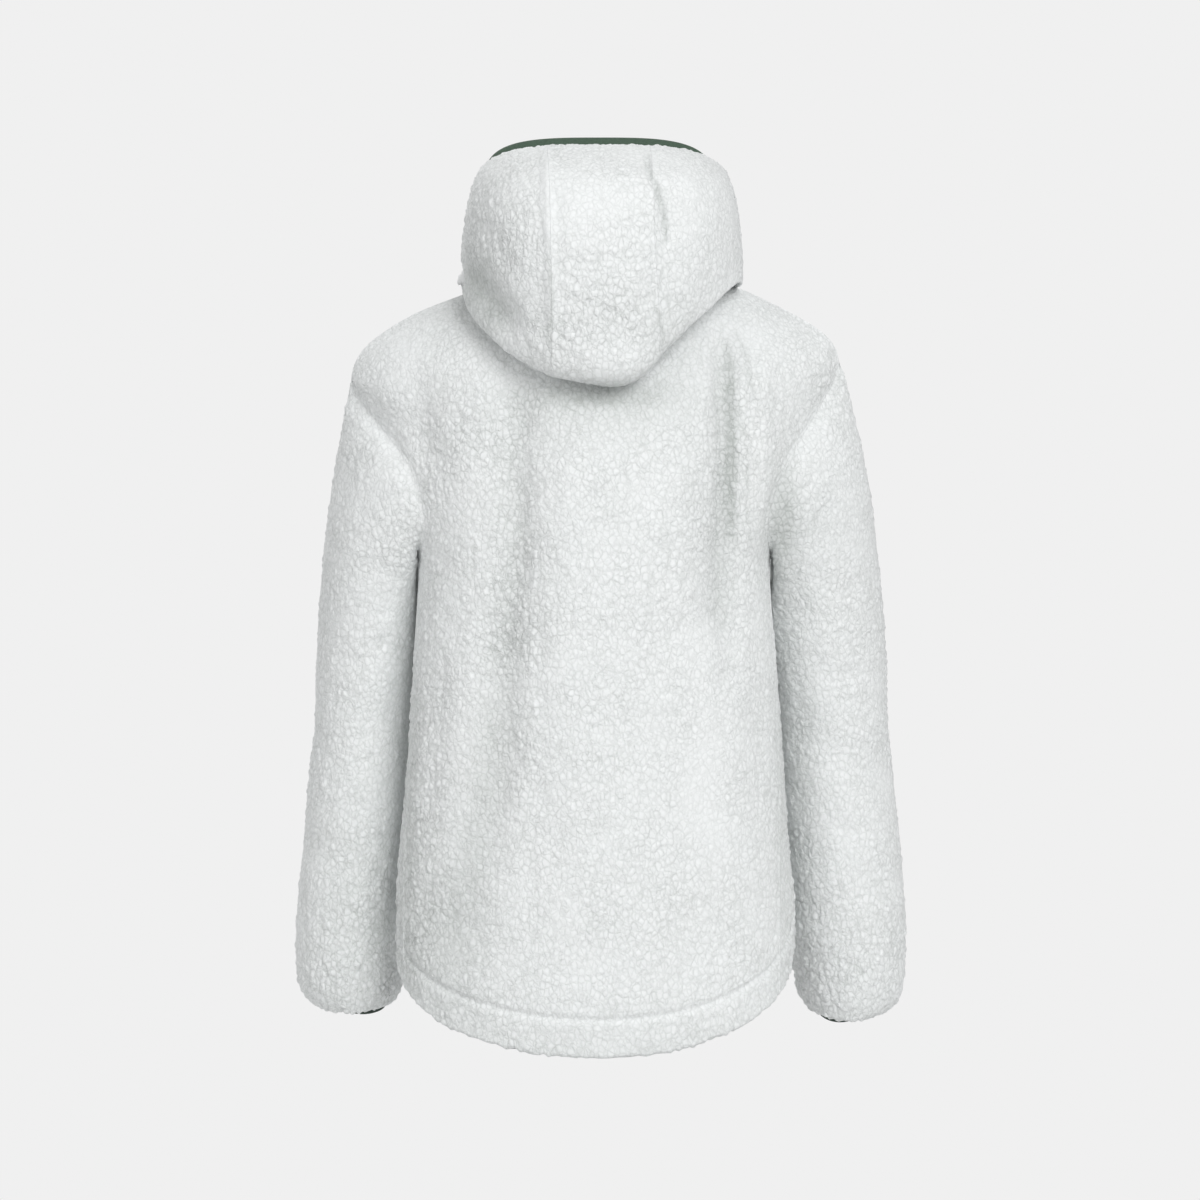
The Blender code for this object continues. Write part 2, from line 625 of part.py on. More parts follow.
def build_bindings(grids, normals, binding, cuff):
    """The binding round the face edge and the two elastic cuff bindings."""
    def whole(table):
        left = table["hood_left"]
        right = table["hood_right"]
        middle = table["hood_centre"]
        return np.concatenate((right[:, :0:-1], middle, left[:, 1:]), axis=1)

    grid = whole(grids)
    facing = whole(normals)
    outer, inner = band_beyond(grid[-1], grid[-2], facing[-1], HOOD_BINDING_WIDTH)
    points, faces = wall_mesh(outer, inner, False)
    add_object("hood_edge_binding", points, faces, binding)
    for name in ("left", "right"):
        sleeve = grids["sleeve_" + name]
        facing = normals["sleeve_" + name][-1]
        down = sleeve_axis(sleeve)
        rims = np.array([sleeve[-1], sleeve[-1] - facing * FLEECE_WALL])
        middle = rims.mean(axis=(0, 1))
        spokes = rims - middle
        spokes -= (spokes @ down)[:, :, None] * down
        reach = np.linalg.norm(spokes, axis=2)
        spread = spokes.mean(axis=0)
        spread /= np.linalg.norm(spread, axis=1, keepdims=True)
        edge = rims.mean(axis=0)
        edge += spread * (reach.min(axis=0) - reach.mean(axis=0))[:, None]
        places = np.linspace(-CUFF_BINDING_WIDTH / 2, CUFF_BINDING_WIDTH / 2, 3)
        outer = np.array([edge + down * place - spread * CUFF_GAP for place in places])
        inner = outer - spread * BINDING_WALL
        points, faces = wall_mesh(outer, inner, True)
        add_object("cuff_binding_" + name, points, faces, cuff)


def sleeve_axis(sleeve):
    """Direction in which a sleeve's wrist opening faces, square to its last ring."""
    ring = sleeve[-1]
    middle = ring.mean(axis=0)
    spokes = ring - middle
    square = np.cross(spokes, np.roll(spokes, -1, axis=0)).sum(axis=0)
    square /= np.linalg.norm(square)
    if square[2] > 0.0:
        square = -square
    return square


def front_line(grids):
    """The front edge from the hem to the chin in the plane x = 0: places and outward normals."""
    line = np.concatenate((grids["front_left"][:, -1], grids["hood_left"][1:, -1]))
    line[:, 0] = 0.0
    slope = np.gradient(line, axis=0)
    out = np.stack((np.zeros(len(line)), -slope[:, 2], slope[:, 1]), axis=1)
    out /= np.linalg.norm(out, axis=1, keepdims=True)
    return line, out


def tape_mesh(grids, normals, name, side):
    """One zip tape: from the centre line to under the panels, just behind their inner faces.

    Its outer points are the panels' own, moved in by the wall and a small gap.
    """
    line, out = front_line(grids)
    panels = [grids["front_" + name], grids["hood_" + name][1:]]
    facings = [normals["front_" + name], normals["hood_" + name][1:]]
    edge = np.concatenate([panel[:, -1] for panel in panels])
    beside = np.concatenate([panel[:, -2] for panel in panels])
    edge_out = np.concatenate([facing[:, -1] for facing in facings])
    beside_out = np.concatenate([facing[:, -2] for facing in facings])
    edge_in = edge - edge_out * FLEECE_WALL
    beside_in = beside - beside_out * FLEECE_WALL
    share = TAPE_UNDER_PANEL / np.linalg.norm(beside_in - edge_in, axis=1, keepdims=True)
    under = edge_in + (beside_in - edge_in) * share
    under_out = edge_out + (beside_out - edge_out) * share
    centre = line + (side * TAPE_INNER_X, 0.0, 0.0) - out * FLEECE_WALL
    outer = np.stack((
        centre - out * TAPE_GAP, edge_in - edge_out * TAPE_GAP, under - under_out * TAPE_GAP),
        axis=1)
    inner = outer - np.stack((out, edge_out, under_out), axis=1) * TAPE_WALL
    return wall_mesh(outer, inner, False)


def strip(line, out, x_low, x_high, front_depth, back_depth):
    """A closed strip along the zip, between two distances from it and two depths."""
    across = np.array([[x_low, 0.0, 0.0], [x_high, 0.0, 0.0]])
    outer = line[:, None] + across[None] - (out * front_depth)[:, None]
    inner = line[:, None] + across[None] - (out * back_depth)[:, None]
    return wall_mesh(outer, inner, False)


def prism(outline, low, high):
    """Points and faces of an outline in y and z, carried along x."""
    count = len(outline)
    points = [(x, y, z) for x in (low, high) for y, z in outline]
    faces = [tuple(range(count)), tuple(range(2 * count - 1, count - 1, -1))]
    faces += [(i, i + count, (i + 1) % count + count, (i + 1) % count) for i in range(count)]
    return points, faces


def slider_frame(line, out):
    """The slider's place on the zip, the tilt of the zip there, and the pull's hinge."""
    place = np.array([np.interp(SLIDER_HEIGHT, line[:, 2], line[:, axis]) for axis in range(3)])
    facing = np.array([np.interp(SLIDER_HEIGHT, line[:, 2], out[:, axis]) for axis in range(3)])
    facing /= np.linalg.norm(facing)
    up = np.array([0.0, -facing[2], facing[1]])
    if up[2] < 0.0:
        up = -up
    hinge = place + facing * (SLIDER_FRONT + BRIDGE_CLEARANCE / 2)
    return place, facing, up, hinge


def build_zip(grids, normals, tape, metal):
    """The two tapes, the chain, the slider and its pull."""
    line, out = front_line(grids)
    for name, side in (("left", 1), ("right", -1)):
        points, faces = tape_mesh(grids, normals, name, side)
        add_object("zip_tape_" + name, points, faces, tape)
    below = line[:, 2] < SLIDER_HEIGHT - 1.0
    points, faces = strip(
        line[below], out[below], -CHAIN_HALF_WIDTH, CHAIN_HALF_WIDTH,
        CHAIN_FRONT_DEPTH, CHAIN_BACK_DEPTH)
    add_object("zip_chain", points, faces, metal)
    build_slider(line, out, metal)


def build_slider(line, out, metal):
    """The slider's body with its bridge, and the pull whose eye passes under the bridge."""
    place, facing, up, hinge = slider_frame(line, out)

    def placed(points):
        points = np.array(points, float)
        return place + np.outer(points[:, 0], (1, 0, 0)) + np.outer(points[:, 1], up) + np.outer(
            points[:, 2], facing)

    half, end = SLIDER_HALF_WIDTH, SLIDER_HALF_LENGTH
    tail, nose = half * SLIDER_TAIL, half * SLIDER_NOSE
    low, high = -end * SLIDER_CHEEK_FOOT, end * SLIDER_CHEEK_TOP
    outline = ((-tail, -end), (tail, -end), (half, low), (half, high),
               (nose, end), (-nose, end), (-half, high), (-half, low))
    count = len(outline)
    points = [(x, y, z) for z in (SLIDER_BACK, SLIDER_FRONT) for x, y in outline]
    faces = [tuple(range(count)), tuple(range(2 * count - 1, count - 1, -1))]
    faces += [(i, i + count, (i + 1) % count + count, (i + 1) % count) for i in range(count)]
    body = add_object("zip_slider", placed(points), faces, metal, origin=place)
    roof = SLIDER_FRONT + BRIDGE_CLEARANCE
    foot = SLIDER_FRONT - BRIDGE_SINK
    far, near = BRIDGE_HALF_LENGTH, BRIDGE_HALF_LENGTH - BRIDGE_POST
    arch = ((-far, foot), (-far, roof), (-near, roof + BRIDGE_WALL), (near, roof + BRIDGE_WALL),
            (far, roof), (far, foot), (near, foot), (near, roof), (-near, roof), (-near, foot))
    points, faces = prism(arch, -BRIDGE_HALF_WIDTH, BRIDGE_HALF_WIDTH)
    bridge = add_object("bridge_cutter", placed(points), faces, metal, origin=place)
    join = body.modifiers.new("bridge", "BOOLEAN")
    join.operation = "UNION"
    join.solver = "EXACT"
    join.object = bridge
    bridge.hide_render = True
    bridge.display_type = "WIRE"
    build_pull(hinge, metal)


def build_pull(hinge, metal):
    """The pull hangs plumb from its eye bar, which lies on the hinge under the bridge."""
    top = PULL_EYE_BAR / 2
    wide, window = PULL_WINDOW_HALF_WIDTH + PULL_ARM, PULL_WINDOW_HALF_WIDTH
    neck, foot = PULL_WINDOW_END, PULL_LENGTH
    shoulder = neck + PULL_SHOULDER
    half, corner = PULL_HALF_WIDTH, PULL_CORNER
    outer = ((-wide, top), (wide, top), (wide, -neck), (half, -shoulder),
             (half, corner - foot), (half - corner, -foot), (corner - half, -foot),
             (-half, corner - foot), (-half, -shoulder), (-wide, -neck))
    hole = ((-window, -top), (window, -top), (window, -neck), (-window, -neck))
    work = bmesh.new()
    rims = []
    for outline in (outer, hole):
        points = [work.verts.new((x, -PULL_WALL / 2, z)) for x, z in outline]
        rims.append([work.edges.new((a, b)) for a, b in zip(points, points[1:] + points[:1])])
    filled = bmesh.ops.triangle_fill(work, use_beauty=True, edges=rims[0] + rims[1])
    faces = [item for item in filled["geom"] if isinstance(item, bmesh.types.BMFace)]
    grown = bmesh.ops.extrude_face_region(work, geom=faces)
    moved = [item for item in grown["geom"] if isinstance(item, bmesh.types.BMVert)]
    bmesh.ops.translate(work, verts=moved, vec=(0.0, PULL_WALL, 0.0))
    bmesh.ops.recalc_face_normals(work, faces=work.faces)
    work.verts.index_update()
    points = np.array([point.co[:] for point in work.verts]) + hinge
    faces = [tuple(point.index for point in face.verts) for face in work.faces]
    work.free()
    add_object("zip_pull", points, faces, metal, origin=hinge, smooth=False)


def main():
    """Clear the scene and build the jacket."""
    for item in list(bpy.data.objects):
        bpy.data.objects.remove(item, do_unlink=True)
    fleece = material("fleece", FLEECE_COLOUR, 0.95)
    binding = material("green_binding", BINDING_COLOUR, 0.75)
    cuff = material("dark_elastic", CUFF_COLOUR, 0.8)
    tape = material("zip_tape", TAPE_COLOUR, 0.85)
    metal = material("dark_metal", METAL_COLOUR, 0.4, 0.9)
    grids, normals, wraps = garment_grids()
    build_fleece(grids, normals, wraps, fleece)
    build_bindings(grids, normals, binding, cuff)
    build_zip(grids, normals, tape, metal)


main()
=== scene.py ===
"""The looks of a hooded zip jacket in deep curly pile fleece, worn and hollow, seen from behind.

The row frame is in metres with +Z up. The front faces -Y and the wearer's left side is +X.
Form sizes here are in millimetres, and become metres when a mesh is made. The form functions
repeat the solids' ring tables and read them anywhere between their rows, so that each fleece
panel lies on its own solid at a much finer grid, with its pile, creases and seams.
"""
import math

import bpy
import numpy as np
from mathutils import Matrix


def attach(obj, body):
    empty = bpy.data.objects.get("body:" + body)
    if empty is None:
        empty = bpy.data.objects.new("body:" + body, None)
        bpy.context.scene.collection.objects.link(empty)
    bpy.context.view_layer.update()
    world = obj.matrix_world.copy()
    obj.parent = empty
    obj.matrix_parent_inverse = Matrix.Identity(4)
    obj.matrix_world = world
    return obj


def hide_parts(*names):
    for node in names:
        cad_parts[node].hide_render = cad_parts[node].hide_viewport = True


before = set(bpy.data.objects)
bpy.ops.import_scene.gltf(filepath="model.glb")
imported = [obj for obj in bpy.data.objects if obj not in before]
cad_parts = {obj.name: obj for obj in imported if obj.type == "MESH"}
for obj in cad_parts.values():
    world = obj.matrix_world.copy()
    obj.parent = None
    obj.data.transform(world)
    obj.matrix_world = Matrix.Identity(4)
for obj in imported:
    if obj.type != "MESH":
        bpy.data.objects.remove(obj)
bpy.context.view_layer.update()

bl_info = {
    "name": "Pile fleece jacket",
    "version": (1, 0, 0),
    "blender": (4, 5, 0),
    "location": "View3D > Sidebar > Jacket",
    "description": "Builds the cloth, trims, zip and stage of a hooded pile fleece jacket",
    "category": "Object",
}

MM = 0.001
BODY = "garment"

# Walls, gaps, widths, counts and heights of the solids, which the cloth here keeps
FLEECE_WALL = 5.0
SEAM_GAP = 0.15
ZIP_HALF_GAP = 6.0
HALF_COLUMNS = 11
GUSSET_COLUMNS = 4
GUSSET_SETTLE_ROWS = 4
FRONT_DROP = 1.25
ARC_SAMPLES = 180
ARMHOLE_BLEND_ROWS = 6
ARMHOLE_BLEND_POWER = 1.5
FOLD_FADE_ROWS = 3.0
FOLD_FADE_COLUMNS = 2.0
FOLD_FACE_SOFTNESS = 8.0
BODY_MIDDLE_Y = 5.0
HOOD_MIDDLE_Y = 20.0
SLEEVE_MIDDLE_Y = -50.0
HEM_STITCH_ROW = 3.0
HOOD_BINDING_WIDTH = 14.0
HOOD_BINDING_FLARE = 0.8
CUFF_BINDING_WIDTH = 9.0
CUFF_GAP = 0.5
BINDING_WALL = 4.0
TAPE_GAP = 0.5
TAPE_WALL = 1.1
TAPE_UNDER_PANEL = 10.0
TAPE_INNER_X = 0.4
SLIDER_HEIGHT = -14.0

# Body rings from the hem up to the neck seam, with the angles of the seams and armholes
BODY_COLUMNS = (
    "steps", "back_y", "back_z", "left_x", "left_z", "right_x", "right_z", "side_y",
    "front_y", "front_z", "left_seam", "right_seam", "arm_back", "arm_front", "bow", "drop",
)
BODY_RINGS = (
    (2, 116, -722, 197, -626, 189, -616, 6, -106, -622, 73, 66, 0, 0, 1.00, 0.78),
    (1, 118, -691, 198, -594, 189, -584, 6, -109, -590, 73, 66, 0, 0, 1.00, 0.78),
    (1, 118, -687, 198, -590, 189, -580, 6, -109, -586, 73, 66, 0, 0, 1.00, 0.78),
    (3, 118, -683, 198, -586, 189, -576, 6, -109, -582, 73, 66, 0, 0, 1.00, 0.80),
    (3, 122, -580, 195, -534, 184, -532, 6, -112, -522, 76, 70, 0, 0, 1.00, 1.00),
    (3, 124, -464, 187, -448, 178, -448, 7, -114, -440, 80, 77, 0, 0, 1.00, 1.00),
    (3, 126, -356, 181, -350, 171, -350, 8, -118, -345, 84, 82, 0, 0, 1.00, 1.00),
    (1, 128, -256, 176, -250, 165, -250, 8, -119, -252, 88, 86, 0, 0, 1.00, 1.00),
    (1, 128, -244, 179, -238, 169, -233, 7, -119, -243, 88, 87, 14, 14, 1.02, 1.00),
    (2, 128, -228, 184, -222, 176, -219, 6, -118, -231, 88, 88, 22, 21, 1.05, 1.00),
    (2, 127, -196, 195, -190, 189, -184, 4, -116, -206, 89, 89, 27, 25, 1.12, 1.00),
    (2, 124, -160, 207, -156, 203, -146, 3, -114, -178, 90, 90, 26, 24, 1.22, 1.00),
    (2, 118, -124, 222, -118, 217, -104, 2, -110, -151, 90, 90, 15, 15, 1.35, 1.10),
    (1, 109, -90, 241, -75, 231, -56, 2, -105, -126, 90, 90, 0, 0, 1.50, 1.20),
    (2, 104, -76, 234, -54, 224, -40, 2, -102, -115, 90, 90, 0, 0, 1.50, 1.30),
    (2, 94, -50, 192, -20, 184, -12, 2, -96, -94, 90, 90, 0, 0, 1.40, 1.40),
    (2, 84, -26, 136, 4, 134, 8, 2, -89, -76, 90, 90, 0, 0, 1.20, 1.40),
    (0, 74, -4, 84, 20, 84, 20, 2, -82, -62, 90, 90, 0, 0, 1.00, 1.20),
)
UNDERARM_KEY = 7
TIP_KEY = 13

# Hood rings from the neck seam, under the pouch at the nape, round its rim and over the crown
HOOD_COLUMNS = (
    "steps", "back_y", "back_z", "left_x", "left_z", "right_x", "right_z", "side_y",
    "front_y", "front_z", "left_gusset", "right_gusset", "bow", "left_drop", "right_drop",
    "square", "front_rise",
)
HOOD_RINGS = (
    (1, 74, -4, 84, 20, 84, 20, 2, -82, -62, 42, 42, 1.0, 1.2, 1.2, 1.0, 1.25),
    (1, 86, 7, 95, 35, 95, 35, 8, -88, -52, 43, 45, 1.0, 1.2, 1.4, 1.0, 1.5),
    (1, 100, -14, 110, 34, 110, 36, 18, -93, -42, 44, 49, 1.0, 1.15, 2.0, 1.0, 1.9),
    (1, 111, -50, 122, 24, 122, 23, 27, -97, -34, 45, 53, 1.0, 1.1, 2.8, 1.0, 2.2),
    (1, 121, -77, 130, 16, 129, 16, 33, -100, -28, 45, 55, 1.0, 1.1, 3.1, 1.0, 2.4),
    (1, 133, -83, 135, 14, 136, 12, 36, -102, -22, 45, 57, 1.0, 1.1, 3.0, 1.0, 2.2),
    (1, 144, -67, 136, 23, 138, 18, 36, -104, -17, 45, 58, 1.0, 1.1, 2.2, 1.0, 1.8),
    (2, 152, -34, 136, 36, 138, 35, 33, -106, -13, 45, 58, 1.0, 1.1, 1.6, 0.95, 1.5),
    (2, 155, 48, 132, 64, 136, 66, 16, -109, -6, 46, 52, 0.85, 0.9, 0.9, 0.85, 1.25),
    (1, 128, 112, 129, 88, 133, 90, -4, -111, 0, 48, 50, 0.75, 0.75, 0.75, 0.75, 1.25),
    (2, 88, 137, 125, 100, 129, 102, -24, -112, 3, 50, 48, 0.70, 0.70, 0.70, 0.70, 1.25),
    (2, 10, 148, 118, 114, 121, 113, -56, -114, 7, 51, 45, 0.66, 0.62, 0.66, 0.66, 1.25),
    (0, -72, 158, 109, 119, 108, 118, -88, -115, 10, 51, 43, 0.62, 0.56, 0.60, 0.62, 1.25),
)

# Sleeve rings from the armhole to the wrist
SLEEVE_COLUMNS = ("steps", "in_x", "in_z", "out_x", "out_z", "mid_y", "half_depth", "tilt")
SLEEVE_RINGS = {
    "left": (
        (1, 176, -250, 241, -75, 4, 58, 0),
        (1, 179, -251, 246, -96, 0, 61, 0),
        (1, 178, -260, 251, -122, -7, 64, 0),
        (2, 178, -274, 258, -156, -16, 66, 0),
        (2, 176, -302, 267, -212, -31, 66, 0),
        (3, 175, -345, 275, -292, -46, 65, 0),
        (3, 179, -420, 282, -392, -58, 62, 0),
        (3, 184, -498, 289, -484, -61, 59, 0),
        (2, 190, -574, 296, -564, -61, 56, 2),
        (1, 196, -626, 300, -624, -61, 54, 4),
        (1, 194, -652, 299, -654, -61, 52, 5),
        (1, 195, -671, 293, -676, -61, 48, 6),
        (1, 201, -684, 277, -690, -61, 41, 6),
        (0, 209, -686, 260, -687, -61, 34, 6),
    ),
    "right": (
        (1, 165, -250, 231, -56, 4, 58, 0),
        (1, 168, -251, 239, -78, 0, 61, 0),
        (1, 167, -260, 246, -104, -7, 64, 0),
        (2, 166, -274, 255, -140, -16, 66, 0),
        (2, 163, -302, 266, -198, -31, 66, 0),
        (3, 163, -345, 277, -285, -46, 65, 0),
        (3, 169, -420, 284, -392, -56, 62, 0),
        (3, 175, -498, 291, -484, -59, 60, 0),
        (2, 182, -574, 299, -564, -59, 57, 3),
        (1, 188, -626, 301, -626, -59, 55, 6),
        (1, 190, -654, 300, -658, -59, 52, 8),
        (1, 194, -674, 294, -682, -59, 48, 10),
        (1, 203, -688, 277, -694, -59, 41, 10),
        (0, 212, -690, 259, -692, -59, 34, 10),
    ),
}

# Folds of the solids: face, depth, half-widths at both ends, and the path as x and z
BODY_FOLDS = (
    ("back", 6.5, 24, 40, ((78, -97), (81, -170), (82, -252), (96, -310), (102, -453),
                           (132, -590))),
    ("back", 9.0, 19, 24, ((-122, -60), (-123, -120), (-123, -180), (-120, -243), (-116, -300))),
    ("back", -4.0, 18, 18, ((-152, -80), (-152, -160), (-150, -235))),
    ("back", 5.0, 18, 18, ((176, -85), (171, -111), (166, -150))),
    ("back", 3.0, 30, 44, ((-60, -330), (-84, -470), (-110, -600))),
    ("back", -2.5, 30, 40, ((20, -150), (24, -300), (30, -480))),
    ("front", 6.0, 24, 38, ((92, -190), (86, -300), (96, -430), (110, -540))),
    ("front", 5.0, 22, 36, ((-96, -210), (-84, -330), (-90, -450), (-104, -550))),
    ("front", 3.5, 18, 26, ((44, -330), (50, -450), (46, -560))),
    ("front", 3.5, 18, 28, ((-42, -300), (-48, -420), (-56, -530))),
)
HOOD_FOLDS = (
    ("back", 5.5, 14, 18, ((132, 26), (112, 4), (90, -30))),
    ("back", 3.0, 12, 16, ((-60, 62), (-62, 30), (-58, -10))),
    ("front", 4.0, 14, 18, ((118, 92), (100, 40), (70, 0))),
    ("front", 4.0, 14, 18, ((-116, 84), (-98, 36), (-68, -4))),
)
SLEEVE_FOLDS = (
    ("back", 4.0, 12, 18, ((-176, -196), (-180, -240), (-190, -300))),
    ("back", 2.6, 18, 22, ((205, -400), (240, -430), (268, -440))),
    ("back", 2.2, 16, 20, ((214, -560), (250, -548), (284, -530))),
    ("back", 2.6, 18, 22, ((-200, -420), (-240, -446), (-270, -452))),
    ("back", 2.2, 14, 20, ((-206, -590), (-246, -575), (-284, -560))),
    ("front", 4.0, 16, 22, ((206, -372), (240, -392), (270, -398))),
    ("front", 3.4, 14, 20, ((210, -440), (246, -432), (276, -420))),
    ("front", 4.0, 16, 22, ((-202, -380), (-240, -396), (-272, -400))),
    ("front", 3.2, 14, 20, ((-206, -448), (-246, -440), (-278, -430))),
)

# Smaller creases that only the cloth here has, in the same form
FINE_FOLDS = {
    "body": (
        ("back", 7.0, 15, 24, ((78, -70), (83, -170), (84, -252), (92, -310), (98, -420),
                               (110, -560))),
        ("back", 7.0, 10, 13, ((-112, -30), (-120, -90), (-126, -160), (-121, -243), (-126, -330),
                               (-120, -390))),
        ("back", 2.6, 5, 8, ((-134, -60), (-146, -120), (-150, -180), (-146, -230))),
        ("back", 2.0, 8, 14, ((60, -300), (54, -420), (66, -540), (60, -640))),
        ("back", 2.2, 9, 14, ((-98, -150), (-96, -230), (-100, -290))),
        ("back", 1.8, 10, 16, ((100, -120), (112, -200), (108, -270))),
        ("back", 1.6, 8, 12, ((-30, -110), (-36, -190), (-34, -240))),
        ("back", 1.5, 12, 18, ((30, -360), (44, -470), (50, -560))),
        ("back", 2.0, 8, 12, ((150, -330), (158, -430), (164, -520))),
        ("back", 1.8, 8, 12, ((-150, -300), (-150, -400), (-158, -500))),
        ("front", 2.4, 9, 14, ((120, -160), (124, -250), (118, -320))),
        ("front", 2.2, 9, 14, ((-126, -150), (-124, -240), (-114, -310))),
        ("front", 1.6, 10, 15, ((70, -430), (78, -520), (76, -590))),
        ("front", 1.8, 10, 15, ((-128, -400), (-134, -480), (-130, -570))),
    ),
    "hood": (
        ("back", 6.0, 12, 15, ((134, 26), (114, -6), (94, -36), (80, -56))),
        ("back", 4.2, 3.0, 3.4, ((-44, 136), (-46, 112), (-58, 84), (-61, 62), (-63, 34))),
        ("back", -2.6, 4.5, 5.5, ((51, 146), (50, 90), (46, -10), (44, -76))),
        ("back", 2.0, 9, 12, ((112, 70), (96, 40), (84, 10))),
        ("back", 1.6, 7, 10, ((-22, 96), (-4, 88), (22, 90))),
        ("back", 1.5, 7, 10, ((44, 20), (10, 26), (-30, 24))),
        ("front", 1.8, 9, 12, ((124, 40), (110, 6), (90, -20))),
    ),
    "sleeve": (
        ("back", 1.6, 9, 13, ((210, -250), (236, -268), (256, -262))),
        ("back", 1.8, 8, 12, ((206, -330), (232, -352), (262, -350))),
        ("back", 1.5, 8, 12, ((222, -480), (250, -500), (276, -494))),
        ("back", 1.6, 9, 13, ((-198, -260), (-226, -282), (-250, -276))),
        ("back", 1.8, 8, 12, ((-196, -340), (-226, -366), (-258, -362))),
        ("back", 1.5, 8, 12, ((-214, -500), (-244, -520), (-274, -512))),
        ("front", 2.0, 9, 13, ((196, -320), (226, -340), (256, -336))),
        ("front", 1.8, 8, 12, ((214, -510), (244, -524), (276, -516))),
        ("front", 2.0, 9, 13, ((-190, -316), (-222, -338), (-256, -334))),
        ("front", 1.8, 8, 12, ((-208, -520), (-240, -534), (-274, -526))),
    ),
}

# Which way round each panel's rows and columns face: 1 where their normal points outwards
OUTWARD = {
    "back": -1, "front_left": -1, "front_right": 1, "sleeve_left": 1, "sleeve_right": -1,
    "hood_centre": -1, "hood_left": -1, "hood_right": 1,
}

# Each group's middle plane and the folds that its solids have
FORM_FOLDS = {
    "body": (BODY_MIDDLE_Y, BODY_FOLDS),
    "hood": (HOOD_MIDDLE_Y, HOOD_FOLDS),
    "sleeve": (SLEEVE_MIDDLE_Y, SLEEVE_FOLDS),
}

# Swells of the cloth: height, reach along x, y and z, and the middle
SWELLS = {
    "body": (
        (6.0, (26, 40, 26), (-134, 34, 8)),
    ),
    "hood": (
        (11.0, (40, 44, 26), (-26, 136, -78)),
        (4.0, (30, 44, 26), (40, 136, -72)),
    ),
    "sleeve": (
        (7.0, (14, 26, 46), (176, -44, -300)),
        (7.0, (14, 26, 46), (-164, -44, -300)),
        (4.5, (11, 40, 24), (-170, -10, -234)),
    ),
}

# Edges of each panel that are sewn to another one, with their share of the seam's sink
SEAMS = {
    "back": {"last_row": 1.0, "first_column": 0.7, "last_column": 0.7},
    "front_left": {"last_row": 1.0, "first_column": 0.7},
    "front_right": {"last_row": 1.0, "first_column": 0.7},
    "sleeve_left": {"first_row": 0.7},
    "sleeve_right": {"first_row": 0.7},
    "hood_centre": {"first_row": 1.0, "first_column": 1.2, "last_column": -0.4},
    "hood_left": {"first_row": 1.0, "first_column": -0.4},
    "hood_right": {"first_row": 1.0, "first_column": 1.2},
}

# Lines along creases and seams, as (face, share, start width, end width, path): a positive share
# paints shade along a crease, and a negative share lays the curls flat
FLAT_PILE_AND_CREASE_SHADE_LINES = {
    "body": (
        ("back", 0.85, 4.6, 6.0, ((-120, -36), (-124, -80), (-125, -140), (-124, -190),
                                  (-127, -250))),
        ("back", 0.45, 2.0, 2.4, ((-128, -26), (-138, -52), (-144, -84), (-152, -104))),
        ("back", 0.40, 2.0, 2.6, ((-134, -110), (-140, -150), (-139, -200), (-145, -240))),
        ("back", 0.34, 14, 24, ((102, -380), (110, -460), (122, -550), (146, -650))),
    ),
    "hood": (
        ("back", 0.85, 1.9, 2.6, ((-43, 140), (-45, 116), (-53, 96), (-58, 80), (-61, 62),
                                  (-63, 40))),
        ("back", 0.60, 2.0, 2.6, ((49, 36), (46, 12), (44, -14), (47, -38), (46, -62))),
        ("back", 0.45, 2.0, 2.4, ((-50, -10), (-58, -34), (-60, -52))),
        ("back", -0.80, 4.5, 5.0, ((51, 150), (50, 110), (50, 70), (49, 30))),
    ),
    "sleeve": (),
}

# Areas where the pile is more open and more shade is painted into its cracks, in troughs, hollows
# and grooves, or brushed together with less of it where the share is below 0: share, reach along
# x, y and z, and the middle
OPEN_PILE_AND_SHADE_AREAS = (
    (-0.40, (50, 90, 62), (-100, 60, 60)),
    (-0.60, (24, 60, 34), (108, 90, -6)),
    (-0.30, (34, 40, 30), (8, 140, 66)),
    (-0.35, (56, 60, 30), (-122, 90, -24)),
    (-0.30, (20, 60, 190), (-104, 125, -400)),
    (-0.20, (60, 60, 40), (180, 60, -60)),
    (0.45, (36, 70, 60), (104, 110, 30)),
    (0.40, (52, 50, 34), (6, 150, -30)),
    (0.40, (30, 60, 130), (-128, 120, -190)),
    (0.35, (34, 60, 200), (84, 120, -300)),
    (0.30, (70, 90, 60), (240, -20, -640)),
    (0.30, (70, 90, 60), (-240, -20, -640)),
    (0.35, (26, 60, 200), (176, 60, -480)),
)

# Areas of painted shade, under the hood's rim, in its hollows, beside the sleeves and low on the
# hem: share, reach along x, y and z, and the middle
PAINTED_SHADE_AREAS = (
    (0.90, (72, 36, 13), (-4, 125, -97)),
    (0.34, (96, 40, 28), (4, 121, -112)),
    (1.00, (20, 120, 28), (119, 60, 8)),
    (0.80, (18, 44, 20), (100, 96, -22)),
    (0.30, (14, 60, 200), (-196, 0, -500)),
    (0.90, (13, 60, 44), (-175, 30, -206)),
    (0.36, (50, 60, 110), (166, 70, -610)),
    (0.22, (60, 90, 120), (240, -20, -560)),
    (0.30, (30, 50, 30), (-190, 16, -212)),
    (0.34, (230, 200, 40), (0, 100, -735)),
    (0.20, (24, 60, 60), (-70, 140, -60)),
    (0.45, (9, 60, 190), (184, 30, -470)),
    (0.45, (9, 60, 190), (-176, 30, -470)),
    (0.30, (20, 60, 60), (-170, 60, -250)),
    (0.16, (40, 60, 90), (240, -40, -640)),
    (0.14, (60, 60, 60), (140, 90, -640)),
)

# Fine grid: outer steps over one inner step, how finely a panel's length and width are measured,
# the percentile of its widths that the grid is made for, panels with a wider step, and the
# sharpest edge that is shaded smooth, in degrees
INNER_STEP = 4
SAMPLES_A_ROW = 30
MEASURED_LINES = 9
MEASURED_ROWS = 16
MEASURED_POINTS = 81
WIDTH_PERCENTILE = 70
GRID_SCALE = {"back": 1.06}
SHARP_ANGLE = 75.0

